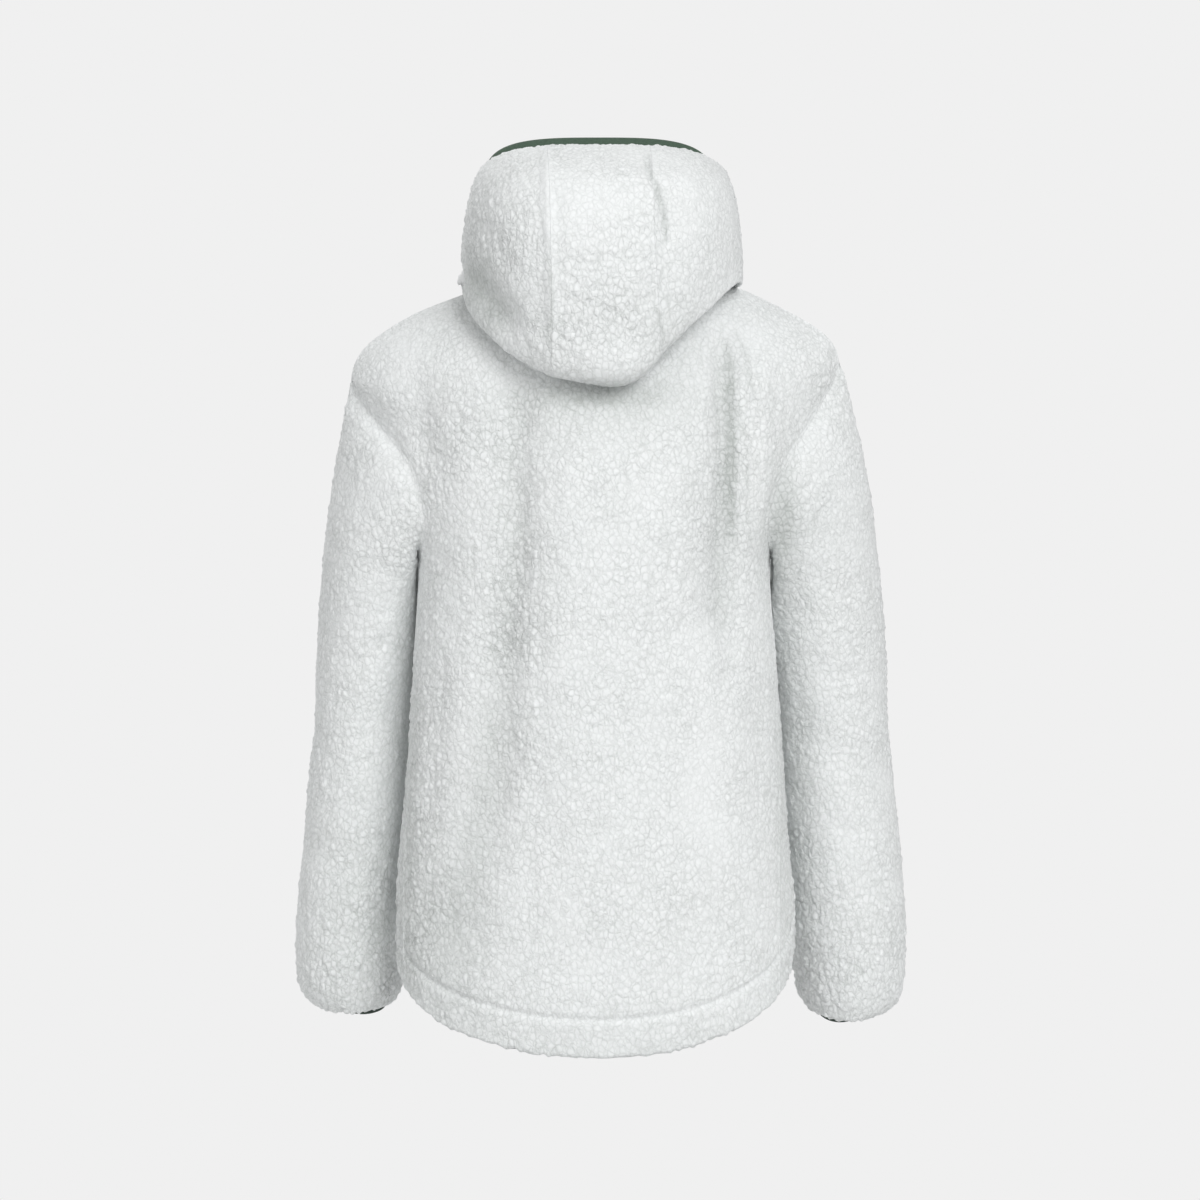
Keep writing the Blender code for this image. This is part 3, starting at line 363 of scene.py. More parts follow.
# Edges: free ones roll in and end in ragged tufts, sewn ones sink and meet, and the pile is
# calmer beside a seam. Clouds here and below are given as weight, size and seed
EDGE_ROLL = 3.0
SEAM_MEET = 4.0
SEAM_CALM = 0.5
HEM_STITCH_SINK = 3.0
HEM_STITCH_HALF_WIDTH = 3.2
HEM_STITCH_CALM = 0.6
RAGGED = 1.9
RAGGED_MEAN = 0.8
RAGGED_CLOUDS = ((1.0, 4.5, 51), (0.6, 11.0, 52))
RAGGED_ROWS = (1.0, 1.0, 0.7, 0.3)
CROWN_SINK = 2.2
CROWN_SINK_WIDTH = 26.0
HOOD_EDGE_TAPER = 2.2
# Rows over which the hood's finer creases come in, above its turned lower rim
HOOD_FINE_ROWS = (5.5, 7.5)

# Random values: primes and shifts that mix the bits of a cell's three numbers and a seed
WORD_SIZE = 2**32
CELL_PRIMES = (73856093, 19349663, 83492791)
SEED_PRIME = 2654435761
MIX_STEPS = ((15, 2246822519), (13, 3266489917))
LAST_SHIFT = 16

# Pile: how noise moves the curls and how they are stretched, the groups of curls as shares of
# one curl's size, and reaches and heights of domes and cracks, and the shade painted into the
# cracks
PILE_MIDDLE = 1.0
CURL_WARPS = ((1.0, 1.3, (11, 12, 13)), (0.5, 0.6, (14, 15, 16)))
CURL_WANDER = 0.26
CURL_STRETCH = (1.0, 1.0, 0.84)
CURL_MARGIN = 0.08
CURL_FREEDOM = 0.84
CURL_SEED = 21
GROUP_SEED = 22
GROUP_SIZE = 1.9
GROUP_SHIFT = 40.0
OPEN_MEAN = 0.55
OPEN_CLOUDS = ((0.20, 48.0, 31), (0.12, 21.0, 32))
OPEN_LEAST = 0.10
CRACK_REACH = 0.20
CRACK_SHADE = 0.7
GROUP_CRACK_REACH = 0.10
GROUP_CRACK_DEPTH = 0.30
GROUP_CRACK_SHADE = 0.5
GROUP_RISE = 0.25
DOME_REACH = 0.36
DOME_LEAST = 0.66
DOME_RANGE = 0.5
FINE_TUFTS = ((0.55, 3.8, 41),)
WIDE_TUFTS = ((0.5, 15.0, 42),)
CREASE_SHADE_CLOUDS = ((0.35, 5.0, 53),)
INSIDE_CRACK = 0.35
# Depths of a trough between which shade is painted into its pile, and how dark it gets
TROUGH_SHADE_DEPTHS = (3.0, 22.0)
TROUGH_PAINTED_SHADE = 0.62
PILE_VALUES = ("crack", "open_pile", "pile_side", "dusk")

# Bindings, tapes and stitches. A section is its number of points and its squareness
BINDING_TUCK = 1.2
BINDING_IN = 0.2
BINDING_ROUND = 1.4
BINDING_STITCH_IN = 4.4
BINDING_SECTION = (28, 0.55)
HOOD_EDGE_COLUMNS = 160
CUFF_SECTION = (20, 0.6)
CUFF_LOOSE = 2.3
CUFF_LOOSE_REACH = 0.35
CUFF_LOOSE_WAY = {"left": (-0.6, 0.8, 0.0), "right": (0.6, 0.8, 0.0)}
TAPE_COLUMNS = 5
TAPE_BESIDE = 6
STITCH_SHARE = 0.36
STITCH_RADIUS = 0.34
STITCH_RINGS = 5
STITCH_SIDES = 6
STITCH_TAPER = 0.85

# Teeth: an outline runs from the tape by the neck to the head, past the centre line, and back
TEETH_BELOW_SLIDER = 4.0
TOOTH_DEPTH = 2.4
TOOTH_MIDDLE = 3.85
TOOTH_OUTLINE = (
    (3.0, -0.85), (1.2, -0.62), (0.7, -0.52), (0.0, -0.82), (-0.8, -0.66), (-1.1, 0.0),
    (-0.8, 0.66), (0.0, 0.82), (0.7, 0.52), (1.2, 0.62), (3.0, 0.85),
)

# Shaders: cells a metre and their wander in metres, scale and detail of each noise, ramps as
# gain and lift, shares of the fleece's tones, most of them shade painted into its cracks and
# troughs, and relief, and each bump's strength and distance
SHADER_CURLS = (200.0, 0.0052)
SHADER_GROUPS = (96.0, 0.0100)
SHADER_STRETCH = (1.0, 1.0, 0.74)
WARP_SCALE = 0.75
WARP_DETAIL = 3.5
WARP_ROUGHNESS = 0.62
FIBRES = (1500.0, 3.0)
PATCHES = (26.0, 2.0)
AREAS = (16.0, 3.0)
FLECKS = (420.0, 3.0)
WEAR = (600.0, 4.0)
CURL_CRACK_RAMP = (-4.2, 1.0)
CURL_CRACK_POWER = 1.6
GROUP_CRACK_RAMP = (-10.0, 1.0)
DOME_RAMP = (-2.6, 1.0)
DOME_POWER = 2.0
PATCH_RAMP = (2.4, -0.7)
PATCH_RANGE = 0.22
PATCH_LEAST = 0.74
OPEN_RANGE = 0.60
MATTED_LEAST = 0.40
AREA_RAMP = (1.6, -0.55)
AREA_TONE = 0.3
# Painted shade: shares of the crack colour in the curls' cracks, the groups' cracks, the pile's
# cracks and the shaded areas and troughs
CURL_TONE = 0.47
GROUP_TONE = 0.27
CRACK_TONE = 0.18
PAINTED_SHADE_TONE = 0.60
LEAST_TONE = 0.02
COOL_TINT = (0.955, 0.975, 0.975)
INSIDE_TONE = 0.93
DOME_RELIEF = 0.8
GROUP_RELIEF = 0.35
FIBRE_RELIEF = 0.18
FLECK_RAMP = (1.5, -0.25)
WEAVE_RAMP = (0.25, 0.2)
WEAVE_SLANT = 0.3
WEAVE_LIGHT = (1.35, 0.01)
WEAVE_DARK = 0.72
WEAVE_RELIEF = 0.5
WEAR_RAMP = (3.0, -1.5)
WEAR_TONE = 0.6
WEAR_LIGHT = (1.5, 0.02)
GLOSS_RANGE = 0.35
GLOSS_DROP = 0.17
PILE_SHEEN = (0.12, 0.6)
WEAVE_SHEEN = (0.08, 0.5)
PILE_BUMP = (0.6, 0.0014)
WEAVE_BUMP = (0.35, 0.0003)
METAL_BUMP = (0.12, 0.0002)
# Woven materials: name, colour setting and its gain, pitch in millimetres and roughness
WEAVES = {
    "binding": ("green_binding", "binding", 1.0, 0.8, 0.72),
    "thread": ("green_thread", "binding", 0.8, 0.5, 0.6),
    "cuff": ("dark_elastic", "cuff", 1.0, 1.1, 0.8),
    "tape": ("zip_tape", "binding", 1.0, 0.6, 0.85),
}
# Hard ones: name, share of metal and roughness
METALS = {
    "teeth": ("moulded_teeth", 0.0, 0.42),
    "metal": ("dark_metal", 0.85, 0.38),
}

# Stage: floor and background, the room's light from below and above as shares of the ambient
# setting, and each light's place and side in metres
FLOOR_RADIUS = 1.5
FLOOR_SIDES = 96
FLOOR_TONE = 0.70
FLOOR_ROUGHNESS = 0.9
BACKGROUND = 0.871
LOW_SHARE = 0.62
HIGH_SHARE = 1.2
SENSOR_WIDTH = 36.0
LIGHTS = {
    "key": ((-1.7, 3.4, 1.5), 2.2),
    "fill": ((2.8, 2.4, 0.4), 2.4),
    "front": ((1.2, -3.4, 1.6), 2.4),
}

# What has been built so far: each panel's points and normals, and each shared material
PANELS = {}
FINISHES = {}


class JacketSizes(bpy.types.PropertyGroup):
    """Sizes of the pile, seams and trims."""
    grid_step: bpy.props.FloatProperty(
        name="Grid step", description="Distance between the points of the pile",
        default=1.82 * MM, unit="LENGTH")
    clump_size: bpy.props.FloatProperty(
        name="Clump size", description="Distance between the middles of two curls of pile",
        default=6.6 * MM, unit="LENGTH")
    clump_height: bpy.props.FloatProperty(
        name="Clump height", description="Depth of the cracks between the curls",
        default=2.4 * MM, unit="LENGTH")
    tuft_height: bpy.props.FloatProperty(
        name="Tuft height", description="Height of the uneven tufts over the whole pile",
        default=1.1 * MM, unit="LENGTH")
    seam_sink: bpy.props.FloatProperty(
        name="Seam sink", description="How far the cloth is drawn in at a seam",
        default=1.0 * MM, unit="LENGTH")
    seam_width: bpy.props.FloatProperty(
        name="Seam width", description="How far from a seam its valley reaches",
        default=3.6 * MM, unit="LENGTH")
    stitch_pitch: bpy.props.FloatProperty(
        name="Stitch pitch", description="Distance between the stitches of the bindings",
        default=3.2 * MM, unit="LENGTH")
    tooth_pitch: bpy.props.FloatProperty(
        name="Tooth pitch", description="Distance between the teeth on one side of the zip",
        default=3.0 * MM, unit="LENGTH")


class JacketColours(bpy.types.PropertyGroup):
    """Colours of the cloth and trims, in linear light."""
    pile: bpy.props.FloatVectorProperty(
        name="Pile", description="Colour of the curls' tips",
        default=(0.852, 0.868, 0.870), subtype="COLOR")
    # Painted shade: the colour that cracks, creases, troughs and shaded areas are darkened towards
    crack: bpy.props.FloatVectorProperty(
        name="Crack", description="Colour deep between the curls",
        default=(0.49, 0.515, 0.50), subtype="COLOR")
    binding: bpy.props.FloatVectorProperty(
        name="Binding", description="Colour of the hood's binding and the zip tapes",
        default=(0.041, 0.078, 0.049), subtype="COLOR")
    cuff: bpy.props.FloatVectorProperty(
        name="Cuff", description="Colour of the elastic binding at the cuffs",
        default=(0.020, 0.038, 0.027), subtype="COLOR")
    metal: bpy.props.FloatVectorProperty(
        name="Metal", description="Colour of the zip's teeth, slider and pull",
        default=(0.10, 0.125, 0.11), subtype="COLOR")


class StageSettings(bpy.types.PropertyGroup):
    """Camera, floor and lights."""
    camera_distance: bpy.props.FloatProperty(
        name="Camera distance", description="From the jacket's middle plane to the camera",
        default=4.0, unit="LENGTH")
    camera_height: bpy.props.FloatProperty(
        name="Camera height", description="Height of the level camera in the row frame",
        default=-0.291, unit="LENGTH")
    frame_width: bpy.props.FloatProperty(
        name="Frame width", description="Width that the image spans at the middle plane",
        default=1.164, unit="LENGTH")
    floor_height: bpy.props.FloatProperty(
        name="Floor height", description="Height of the floor in the row frame",
        default=-1.16, unit="LENGTH")
    ambient: bpy.props.FloatProperty(
        name="Ambient", description="Brightness of the white room as a light", default=0.45)
    key_power: bpy.props.FloatProperty(
        name="Key power", description="Power of the large soft light", default=106.0)
    fill_power: bpy.props.FloatProperty(
        name="Fill power", description="Power of the light on the other side", default=30.0)
    front_power: bpy.props.FloatProperty(
        name="Front power", description="Power of the light before the jacket's front",
        default=105.0)


def read_rows(columns, keys, places):
    """Read a table at any places along its rows, with cubic curves through its key rows.

    Between two keys the value is the Hermite cubic of their values and slopes, and a key's
    slope is the mean of the two secants beside it, weighed by the other one's length.
    """
    steps = np.array([key[0] for key in keys[:-1]], float)
    marks = np.concatenate(([0.0], np.cumsum(steps)))
    values = np.array([key[1:] for key in keys], float)
    slopes = np.zeros_like(values)
    gaps = np.diff(marks)[:, None]
    secants = np.diff(values, axis=0) / gaps
    slopes[1:-1] = (secants[:-1] * gaps[1:] + secants[1:] * gaps[:-1]) / (gaps[:-1] + gaps[1:])
    slopes[0], slopes[-1] = secants[0], secants[-1]
    spans = np.clip(np.searchsorted(marks, places, side="right") - 1, 0, len(gaps) - 1)
    width = gaps[spans]
    t = (places[:, None] - marks[spans][:, None]) / width
    out = ((2 * t**3 - 3 * t**2 + 1) * values[spans]
           + (t**3 - 2 * t**2 + t) * width * slopes[spans]
           + (3 * t**2 - 2 * t**3) * values[spans + 1]
           + (t**3 - t**2) * width * slopes[spans + 1])
    return dict(zip(columns[1:], out.T[:, :, None]))


def row_of(keys, key=-1):
    """The grid row of one of a table's key rows, or of its last one."""
    return float(sum(row[0] for row in keys[:key]))


def half_rings(rows, side):
    """Half rings for many rows at once, from the centre back to the centre front.

    On the back quarter x grows with the sine of the angle, and depth and height go from the
    side's to the centre back's with the cosine, each raised to its own exponent. The front
    quarter does the same between the side and the edge of the zip.
    """
    name = "left" if side > 0 else "right"
    angle = np.linspace(0.0, math.pi, 2 * ARC_SAMPLES + 1)[None]
    behind = angle <= math.pi / 2
    sine, cosine = np.abs(np.sin(angle)), np.abs(np.cos(angle))
    across, high, deep = rows[name + "_x"], rows[name + "_z"], rows["side_y"]
    drop = rows.get("drop", rows.get(name + "_drop"))
    x_back = across * sine ** rows.get("square", 1.0)
    x_front = ZIP_HALF_GAP + (across - ZIP_HALF_GAP) * sine
    y_back = deep + (rows["back_y"] - deep) * cosine ** rows["bow"]
    y_front = deep + (rows["front_y"] - deep) * cosine
    z_back = high + (rows["back_z"] - high) * cosine ** drop
    z_front = high + (rows["front_z"] - high) * cosine ** rows.get("front_rise", FRONT_DROP)
    return np.stack((
        side * np.where(behind, x_back, x_front),
        np.where(behind, y_back, y_front),
        np.where(behind, z_back, z_front),
    ), axis=2)


def lengths(lines):
    """Distance along each line of points, from its first one."""
    steps = np.linalg.norm(np.diff(lines, axis=1), axis=2)
    return np.concatenate((np.zeros((len(lines), 1)), np.cumsum(steps, axis=1)), axis=1)


def read_lines(lines, along, places):
    """Points of each line at its own row of distances, between the two samples beside each."""
    count = lines.shape[1]
    shift = np.arange(len(lines))[:, None] * (along.max() + 1.0)
    places = np.clip(places, 0.0, along[:, -1:])
    found = np.searchsorted((along + shift).ravel(), (places + shift).ravel(), side="right") - 1
    found = found.reshape(places.shape) - np.arange(len(lines))[:, None] * count
    found = np.clip(found, 0, count - 2)
    low = np.take_along_axis(along, found, axis=1)
    high = np.take_along_axis(along, found + 1, axis=1)
    t = ((places - low) / np.maximum(high - low, 1e-9))[:, :, None]
    first = np.take_along_axis(lines, found[:, :, None], axis=1)
    second = np.take_along_axis(lines, found[:, :, None] + 1, axis=1)
    return first + (second - first) * t


def angle_places(along, degrees):
    """Distance along each half ring at an angle from the centre back, in degrees."""
    place = degrees / 180.0 * (along.shape[1] - 1)
    low = np.clip(np.floor(place).astype(int), 0, along.shape[1] - 2)
    first = np.take_along_axis(along, low, axis=1)
    return first + (np.take_along_axis(along, low + 1, axis=1) - first) * (place - low)


def panel_places(seam, edge, shares):
    """Distances of a panel's columns from its centre line: seam * t - (seam - edge) * t cubed."""
    return seam * shares - (seam - edge) * shares**3


def body_half(places, side, face, shares):
    """Half of the back, or one front, at the given rows and column shares.

    Shares run from 0 at the centre line to 1 at the side seam, shoulder seam or armhole.
    """
    name = "left" if side > 0 else "right"
    rows = read_rows(BODY_COLUMNS, BODY_RINGS, places)
    lines = half_rings(rows, side)
    along = lengths(lines)
    angle = rows[name + "_seam"]
    seam = angle_places(along, angle)
    closed = (places <= row_of(BODY_RINGS, UNDERARM_KEY)) | (places >= row_of(BODY_RINGS, TIP_KEY))
    arm = np.where(closed[:, None], 0.0, np.maximum(rows["arm_" + face], 0.0))
    if face == "back":
        edge = angle_places(along, angle - arm)
        return read_lines(lines, along, panel_places(seam, edge, shares[None]))
    last = along[:, -1:]
    edge = angle_places(along, angle + arm)
    return read_lines(lines, along, last - panel_places(last - seam, last - edge, shares[None]))


def hood_half(places, side, shares):
    """One half of the hood. Shares count columns from the centre line to the face edge."""
    name = "left" if side > 0 else "right"
    rows = read_rows(HOOD_COLUMNS, HOOD_RINGS, places)
    lines = half_rings(rows, side)
    along = lengths(lines)
    last, quarter = along[:, -1:], angle_places(along, np.full((len(places), 1), 90.0))
    flank = 2 * HALF_COLUMNS - GUSSET_COLUMNS
    shares = shares[None]
    neck = np.where(shares <= HALF_COLUMNS, quarter * shares / HALF_COLUMNS,
                    quarter + (last - quarter) * (shares - HALF_COLUMNS) / HALF_COLUMNS)
    gusset = rows[name + "_gusset"]
    own = np.where(shares <= GUSSET_COLUMNS, gusset * shares / GUSSET_COLUMNS,
                   gusset + (last - gusset) * (shares - GUSSET_COLUMNS) / flank)
    share = np.minimum(places[:, None] / GUSSET_SETTLE_ROWS, 1.0)
    return read_lines(lines, along, neck * (1.0 - share) + own * share)


def sleeve_rings(places, side, turns):
    """Rings of one sleeve. Turns run from 0 at the inner point round by the back to 1.

    Height and x go between the inner and the outer point with the cosine of the angle, and
    depth goes with its sine. The back hangs lower by the tilt times that sine.
    """
    rows = read_rows(SLEEVE_COLUMNS, SLEEVE_RINGS["left" if side > 0 else "right"], places)
    angle = np.linspace(0.0, 2 * math.pi, 4 * ARC_SAMPLES + 1)[None]
    share = (1.0 - np.cos(angle)) / 2.0
    lines = np.stack((
        side * (rows["in_x"] + (rows["out_x"] - rows["in_x"]) * share),
        rows["mid_y"] + rows["half_depth"] * np.sin(angle),
        rows["in_z"] + (rows["out_z"] - rows["in_z"]) * share - rows["tilt"] * np.sin(angle),
    ), axis=2)
    along = lengths(lines)
    half, last = along[:, 2 * ARC_SAMPLES:2 * ARC_SAMPLES + 1], along[:, -1:]
    turns = turns[None]
    return read_lines(lines, along, np.where(
        turns <= 0.5, half * turns * 2, half + (last - half) * (turns - 0.5) * 2))


def sleeve_surface(places, side, turns):
    """One sleeve's surface: its rings, moved to the armhole's own loop in the first rows."""
    low, high = row_of(BODY_RINGS, UNDERARM_KEY), row_of(BODY_RINGS, TIP_KEY)
    edge = np.ones(1)
    up = body_half(low + (high - low) * np.clip(turns * 2, 0, 1), side, "back", edge)[:, 0]
    down = body_half(high - (high - low) * np.clip(turns * 2 - 1, 0, 1), side, "front", edge)[:, 0]
    loop = np.where((turns <= 0.5)[:, None], up, down)
    rings = sleeve_rings(places, side, turns)
    first = sleeve_rings(np.zeros(1), side, turns)
    fade = np.clip(1.0 - places / ARMHOLE_BLEND_ROWS, 0.0, 1.0) ** ARMHOLE_BLEND_POWER
    return rings + fade[:, None, None] * (loop[None] - first)


def even_places(surface, last, step):
    """Rows of a surface that lie about a step apart, a whole number of inner steps in all.

    The surface is sampled finely, its mean length from row 0 is added up, and the rows are
    read where that length is a multiple of the step.
    """
    places = np.linspace(0.0, last, int(last) * SAMPLES_A_ROW + 1)
    run = lengths(surface(places).transpose(1, 0, 2)).mean(axis=0)
    count = max(int(round(run[-1] / step / INNER_STEP)), 2) * INNER_STEP
    return np.interp(np.linspace(0.0, run[-1], count + 1), run, places)


def normals_of(grid, wrap, way):
    """Outward unit normals of a grid: the cross product of its two directions."""
    down = np.gradient(grid, axis=0)
    if wrap:
        padded = np.concatenate((grid[:, -1:], grid, grid[:, :1]), axis=1)
        across = (padded[:, 2:] - padded[:, :-2]) / 2
    else:
        across = np.gradient(grid, axis=1)
    facing = np.cross(across, down) * way
    return facing / (np.linalg.norm(facing, axis=2, keepdims=True) + 1e-9)


def fold_depth(points, middle_y, folds, taper=0.0):
    """Depth of the folds at each point: a bell curve of the distance to each fold's path.

    A tapered fold's depth falls to its ends with the fourth power of the place along it.
    """
    total = np.zeros(points.shape[:-1])
    for face, depth, start_width, end_width, path in folds:
        path = np.array(path, float)
        best = np.full(points.shape[:-1], np.inf)
        where = np.zeros(points.shape[:-1])
        for index in range(len(path) - 1):
            start, step = path[index], path[index + 1] - path[index]
            offset = points[..., (0, 2)] - start
            t = np.clip(offset @ step / (step @ step), 0.0, 1.0)
            distance = np.linalg.norm(offset - t[..., None] * step, axis=-1)
            share = (index + t) / (len(path) - 1)
            distance = distance / (start_width + (end_width - start_width) * share)
            where = np.where(distance < best, share, where)
            best = np.minimum(best, distance)
        sign = 1.0 if face == "back" else -1.0
        facing = 1.0 / (1.0 + np.exp(-sign * (points[..., 1] - middle_y) / FOLD_FACE_SOFTNESS))
        total += depth * facing * np.exp(-best**2) * (1.0 - taper * (2.0 * where - 1.0) ** 4)
    return total


def scatter(cells, seed):
    """Three even random values from 0 to 1 for each whole-number cell, by mixing its bits."""
    x, y, z = (cells[..., axis].astype(np.int64).astype(np.uint32) * np.uint32(prime)
               for axis, prime in enumerate(CELL_PRIMES))
    mixed = x ^ y ^ z ^ np.uint32(seed * SEED_PRIME % WORD_SIZE)
    out = []
    for _ in range(3):
        for shift, prime in MIX_STEPS:
            mixed = (mixed ^ (mixed >> np.uint32(shift))) * np.uint32(prime)
        mixed = mixed ^ (mixed >> np.uint32(LAST_SHIFT))
        out.append(mixed.astype(np.float64) / (WORD_SIZE - 1.0))
    return np.stack(out, axis=-1)


def cloud(points, size, seed):
    """Smooth random values from -1 to 1: cell corners' values, blended by a smooth step."""
    place = points / size
    base = np.floor(place)
    t = place - base
    t = t * t * (3.0 - 2.0 * t)
    total = np.zeros(points.shape[:-1])
    for corner in np.ndindex(2, 2, 2):
        corner = np.array(corner)
        share = np.prod(np.where(corner == 1, t, 1.0 - t), axis=-1)
        total += share * scatter(base + corner, seed)[..., 0]
    return total * 2.0 - 1.0


def mixed_clouds(points, clouds, start=0.0):
    """A start plus clouds, each with its weight, size and seed."""
    return sum((weight * cloud(points, size, seed) for weight, size, seed in clouds), start)


def curls(points, size, seed):
    """Distance to the border between the two nearest curl middles, and a value for each curl.

    Each cell of a cubic grid holds one middle at a random place. The border distance is half
    the difference of the distances to the second nearest and the nearest middle.
    """
    place = points / size
    base = np.floor(place)
    nearest = np.full(points.shape[:-1], 9.0)
    second = np.full(points.shape[:-1], 9.0)
    own = np.zeros(points.shape[:-1])
    for offset in np.ndindex(3, 3, 3):
        cell = base + np.array(offset) - 1
        random = scatter(cell, seed)
        distance = np.linalg.norm(place - cell - CURL_MARGIN - CURL_FREEDOM * random, axis=-1)
        closer = distance < nearest
        second = np.where(closer, nearest, np.minimum(second, distance))
        own = np.where(closer, random[..., 0], own)
        nearest = np.where(closer, distance, nearest)
    return (second - nearest) / 2, own


def smooth_step(low, high, values):
    """0 below low, 1 above high, and a smooth cubic between them."""
    t = np.clip((values - low) / (high - low), 0.0, 1.0)
    return t * t * (3.0 - 2.0 * t)


def bell(distances, width):
    """A bell curve: 1 at distance 0, and 1 over e at the width."""
    return np.exp(-(distances / width) ** 2)


def pile(points, sizes):
    """Height of the pile in millimetres, how much shade is painted where each point lies deep in a
    crack, and how open it is.

    Each curl is a dome over its cell. Cracks are deep in some areas and nearly closed in
    others where the pile is brushed together, and small clouds make the tips uneven.
    """
    size = sizes.clump_size / MM
    warp = sum(weight * np.stack([cloud(points, size * reach, seed) for seed in seeds], axis=-1)
               for weight, reach, seeds in CURL_WARPS)
    stretched = (points + warp * size * CURL_WANDER) * np.array(CURL_STRETCH)
    border, own = curls(stretched, size, CURL_SEED)
    group_border, group_own = curls(stretched + GROUP_SHIFT, size * GROUP_SIZE, GROUP_SEED)
    areas = mixed_clouds(points, OPEN_CLOUDS, OPEN_MEAN)
    # The open areas also set how much shade is painted into the cracks in troughs and hollows
    open_pile = np.clip(areas + swell_height(points, OPEN_PILE_AND_SHADE_AREAS), OPEN_LEAST, 1.0)
    crack = 1.0 - smooth_step(0.0, CRACK_REACH, border)
    group_crack = 1.0 - smooth_step(0.0, GROUP_CRACK_REACH, group_border)
    dome = smooth_step(0.0, DOME_REACH, border) * (DOME_LEAST + DOME_RANGE * own)
    height = sizes.clump_height / MM * open_pile * (
        dome - GROUP_CRACK_DEPTH * group_crack + GROUP_RISE * group_own)
    height += sizes.tuft_height / MM * (
        mixed_clouds(points, FINE_TUFTS) * open_pile + mixed_clouds(points, WIDE_TUFTS))
    # Painted shade: how far the colour is darkened in the cracks between the curls
    shade = np.clip(CRACK_SHADE * crack + GROUP_CRACK_SHADE * group_crack, 0.0, 1.0) * open_pile
    return height, shade, open_pile


def edge_distances(grid, wrap):
    """Distance in millimetres from each point to the first and last row and column."""
    down = lengths(grid.transpose(1, 0, 2)).T
    out = {"first_row": down, "last_row": down[-1:] - down}
    if not wrap:
        across = lengths(grid)
        out["first_column"] = across
        out["last_column"] = across[:, -1:] - across
    return out


def grid_quads(rows, columns, wrap_rows, wrap_columns):
    """Quads between the points of a grid that is counted row by row."""
    r, c = np.meshgrid(np.arange(rows if wrap_rows else rows - 1),
                       np.arange(columns if wrap_columns else columns - 1), indexing="ij")
    above, beside = (r + 1) % rows, (c + 1) % columns
    return np.stack((r * columns + c, r * columns + beside,
                     above * columns + beside, above * columns + c), axis=-1).reshape(-1, 4)


def closed_wall(outer, inner, step, wrap):
    """Points and faces of a wall with a fine outer grid and a coarser inner one.

    Inner rows and columns lie under every step-th outer one. Each rim face has one inner edge
    and all the outer edges over it.
    """
    points = np.concatenate((outer.reshape(-1, 3), inner.reshape(-1, 3)))
    top = np.arange(outer[..., 0].size).reshape(outer.shape[:2])
    base = np.arange(inner[..., 0].size).reshape(inner.shape[:2]) + top.size
    faces = grid_quads(*outer.shape[:2], False, wrap).tolist()
    faces += (grid_quads(*inner.shape[:2], False, wrap)[:, ::-1] + top.size).tolist()
    if wrap:
        top, base = (np.concatenate((part, part[:, :1]), axis=1) for part in (top, base))
    rims = [(top[0], base[0], True), (top[-1], base[-1], False)]
    if not wrap:
        rims += [(top[:, 0], base[:, 0], False), (top[:, -1], base[:, -1], True)]
    for over, under, turned in rims:
        for span in range(len(under) - 1):
            face = [*over[span * step:(span + 1) * step + 1].tolist(),
                    int(under[span + 1]), int(under[span])]
            faces.append(face[::-1] if turned else face)
    return points, faces


def link_item(name, data):
    """An object in the scene's own collection."""
    item = bpy.data.objects.new(name, data)
    bpy.context.scene.collection.objects.link(item)
    return item


def add_piece(name, points, faces, look, node_name=None, smooth=True, values=None):
    """Make one mesh object from points in millimetres, turn its faces outwards and enter it.

    It rides the garment, takes the material of its look and takes the place of a node if one is
    named.
    """
    mesh = bpy.data.meshes.new(name)
    mesh.from_pydata((np.asarray(points) * MM).tolist(), [], faces)
    mesh.update()
    mesh.calc_loop_triangles()
    triangles = np.zeros(len(mesh.loop_triangles) * 3, int)
    mesh.loop_triangles.foreach_get("vertices", triangles)
    a, b, c = np.asarray(points)[triangles.reshape(-1, 3)].transpose(1, 0, 2)
    if (a * np.cross(b, c)).sum() < 0.0:
        mesh.flip_normals()
    for key, data in (values or {}).items():
        layer = mesh.attributes.new(key, "FLOAT", "POINT")
        layer.data.foreach_set("value", np.asarray(data, np.float32))
    if smooth:
        mesh.shade_smooth()
        mesh.set_sharp_from_angle(angle=math.radians(SHARP_ANGLE))
    mesh.materials.append(finish(look))
    piece = link_item(name, mesh)
    if node_name:
        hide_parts(node_name)
    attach(piece, BODY)
    return piece


def panel_group(name):
    """The group of tables that a panel is shaped by."""
    first = name.split("_")[0]
    return first if first in ("hood", "sleeve") else "body"


def two_halves(half, shares):
    """Both halves of a panel over the centre line, from its right edge to its left one."""
    return np.concatenate((half(-1, -shares[shares < 0]), half(1, shares[shares >= 0])), axis=1)


def panel_surface(name):
    """A panel's surface as a function of rows and of u from 0 to 1, its last row and its wrap."""
    side = -1 if name.endswith("right") else 1
    group = panel_group(name)
    keys = {"body": BODY_RINGS, "hood": HOOD_RINGS, "sleeve": SLEEVE_RINGS["left"]}[group]

    def surface(places, u):
        if name == "back":
            return two_halves(lambda way, shares: body_half(places, way, "back", shares), 2 * u - 1)
        if name == "hood_centre":
            return two_halves(lambda way, shares: hood_half(places, way, shares),
                              (2 * u - 1) * GUSSET_COLUMNS)
        if group == "body":
            return body_half(places, side, "front", 1 - u)
        if group == "sleeve":
            return sleeve_surface(places, side, u)
        return hood_half(places, side, GUSSET_COLUMNS + u * (2 * HALF_COLUMNS - GUSSET_COLUMNS))

    return surface, row_of(keys), group == "sleeve"


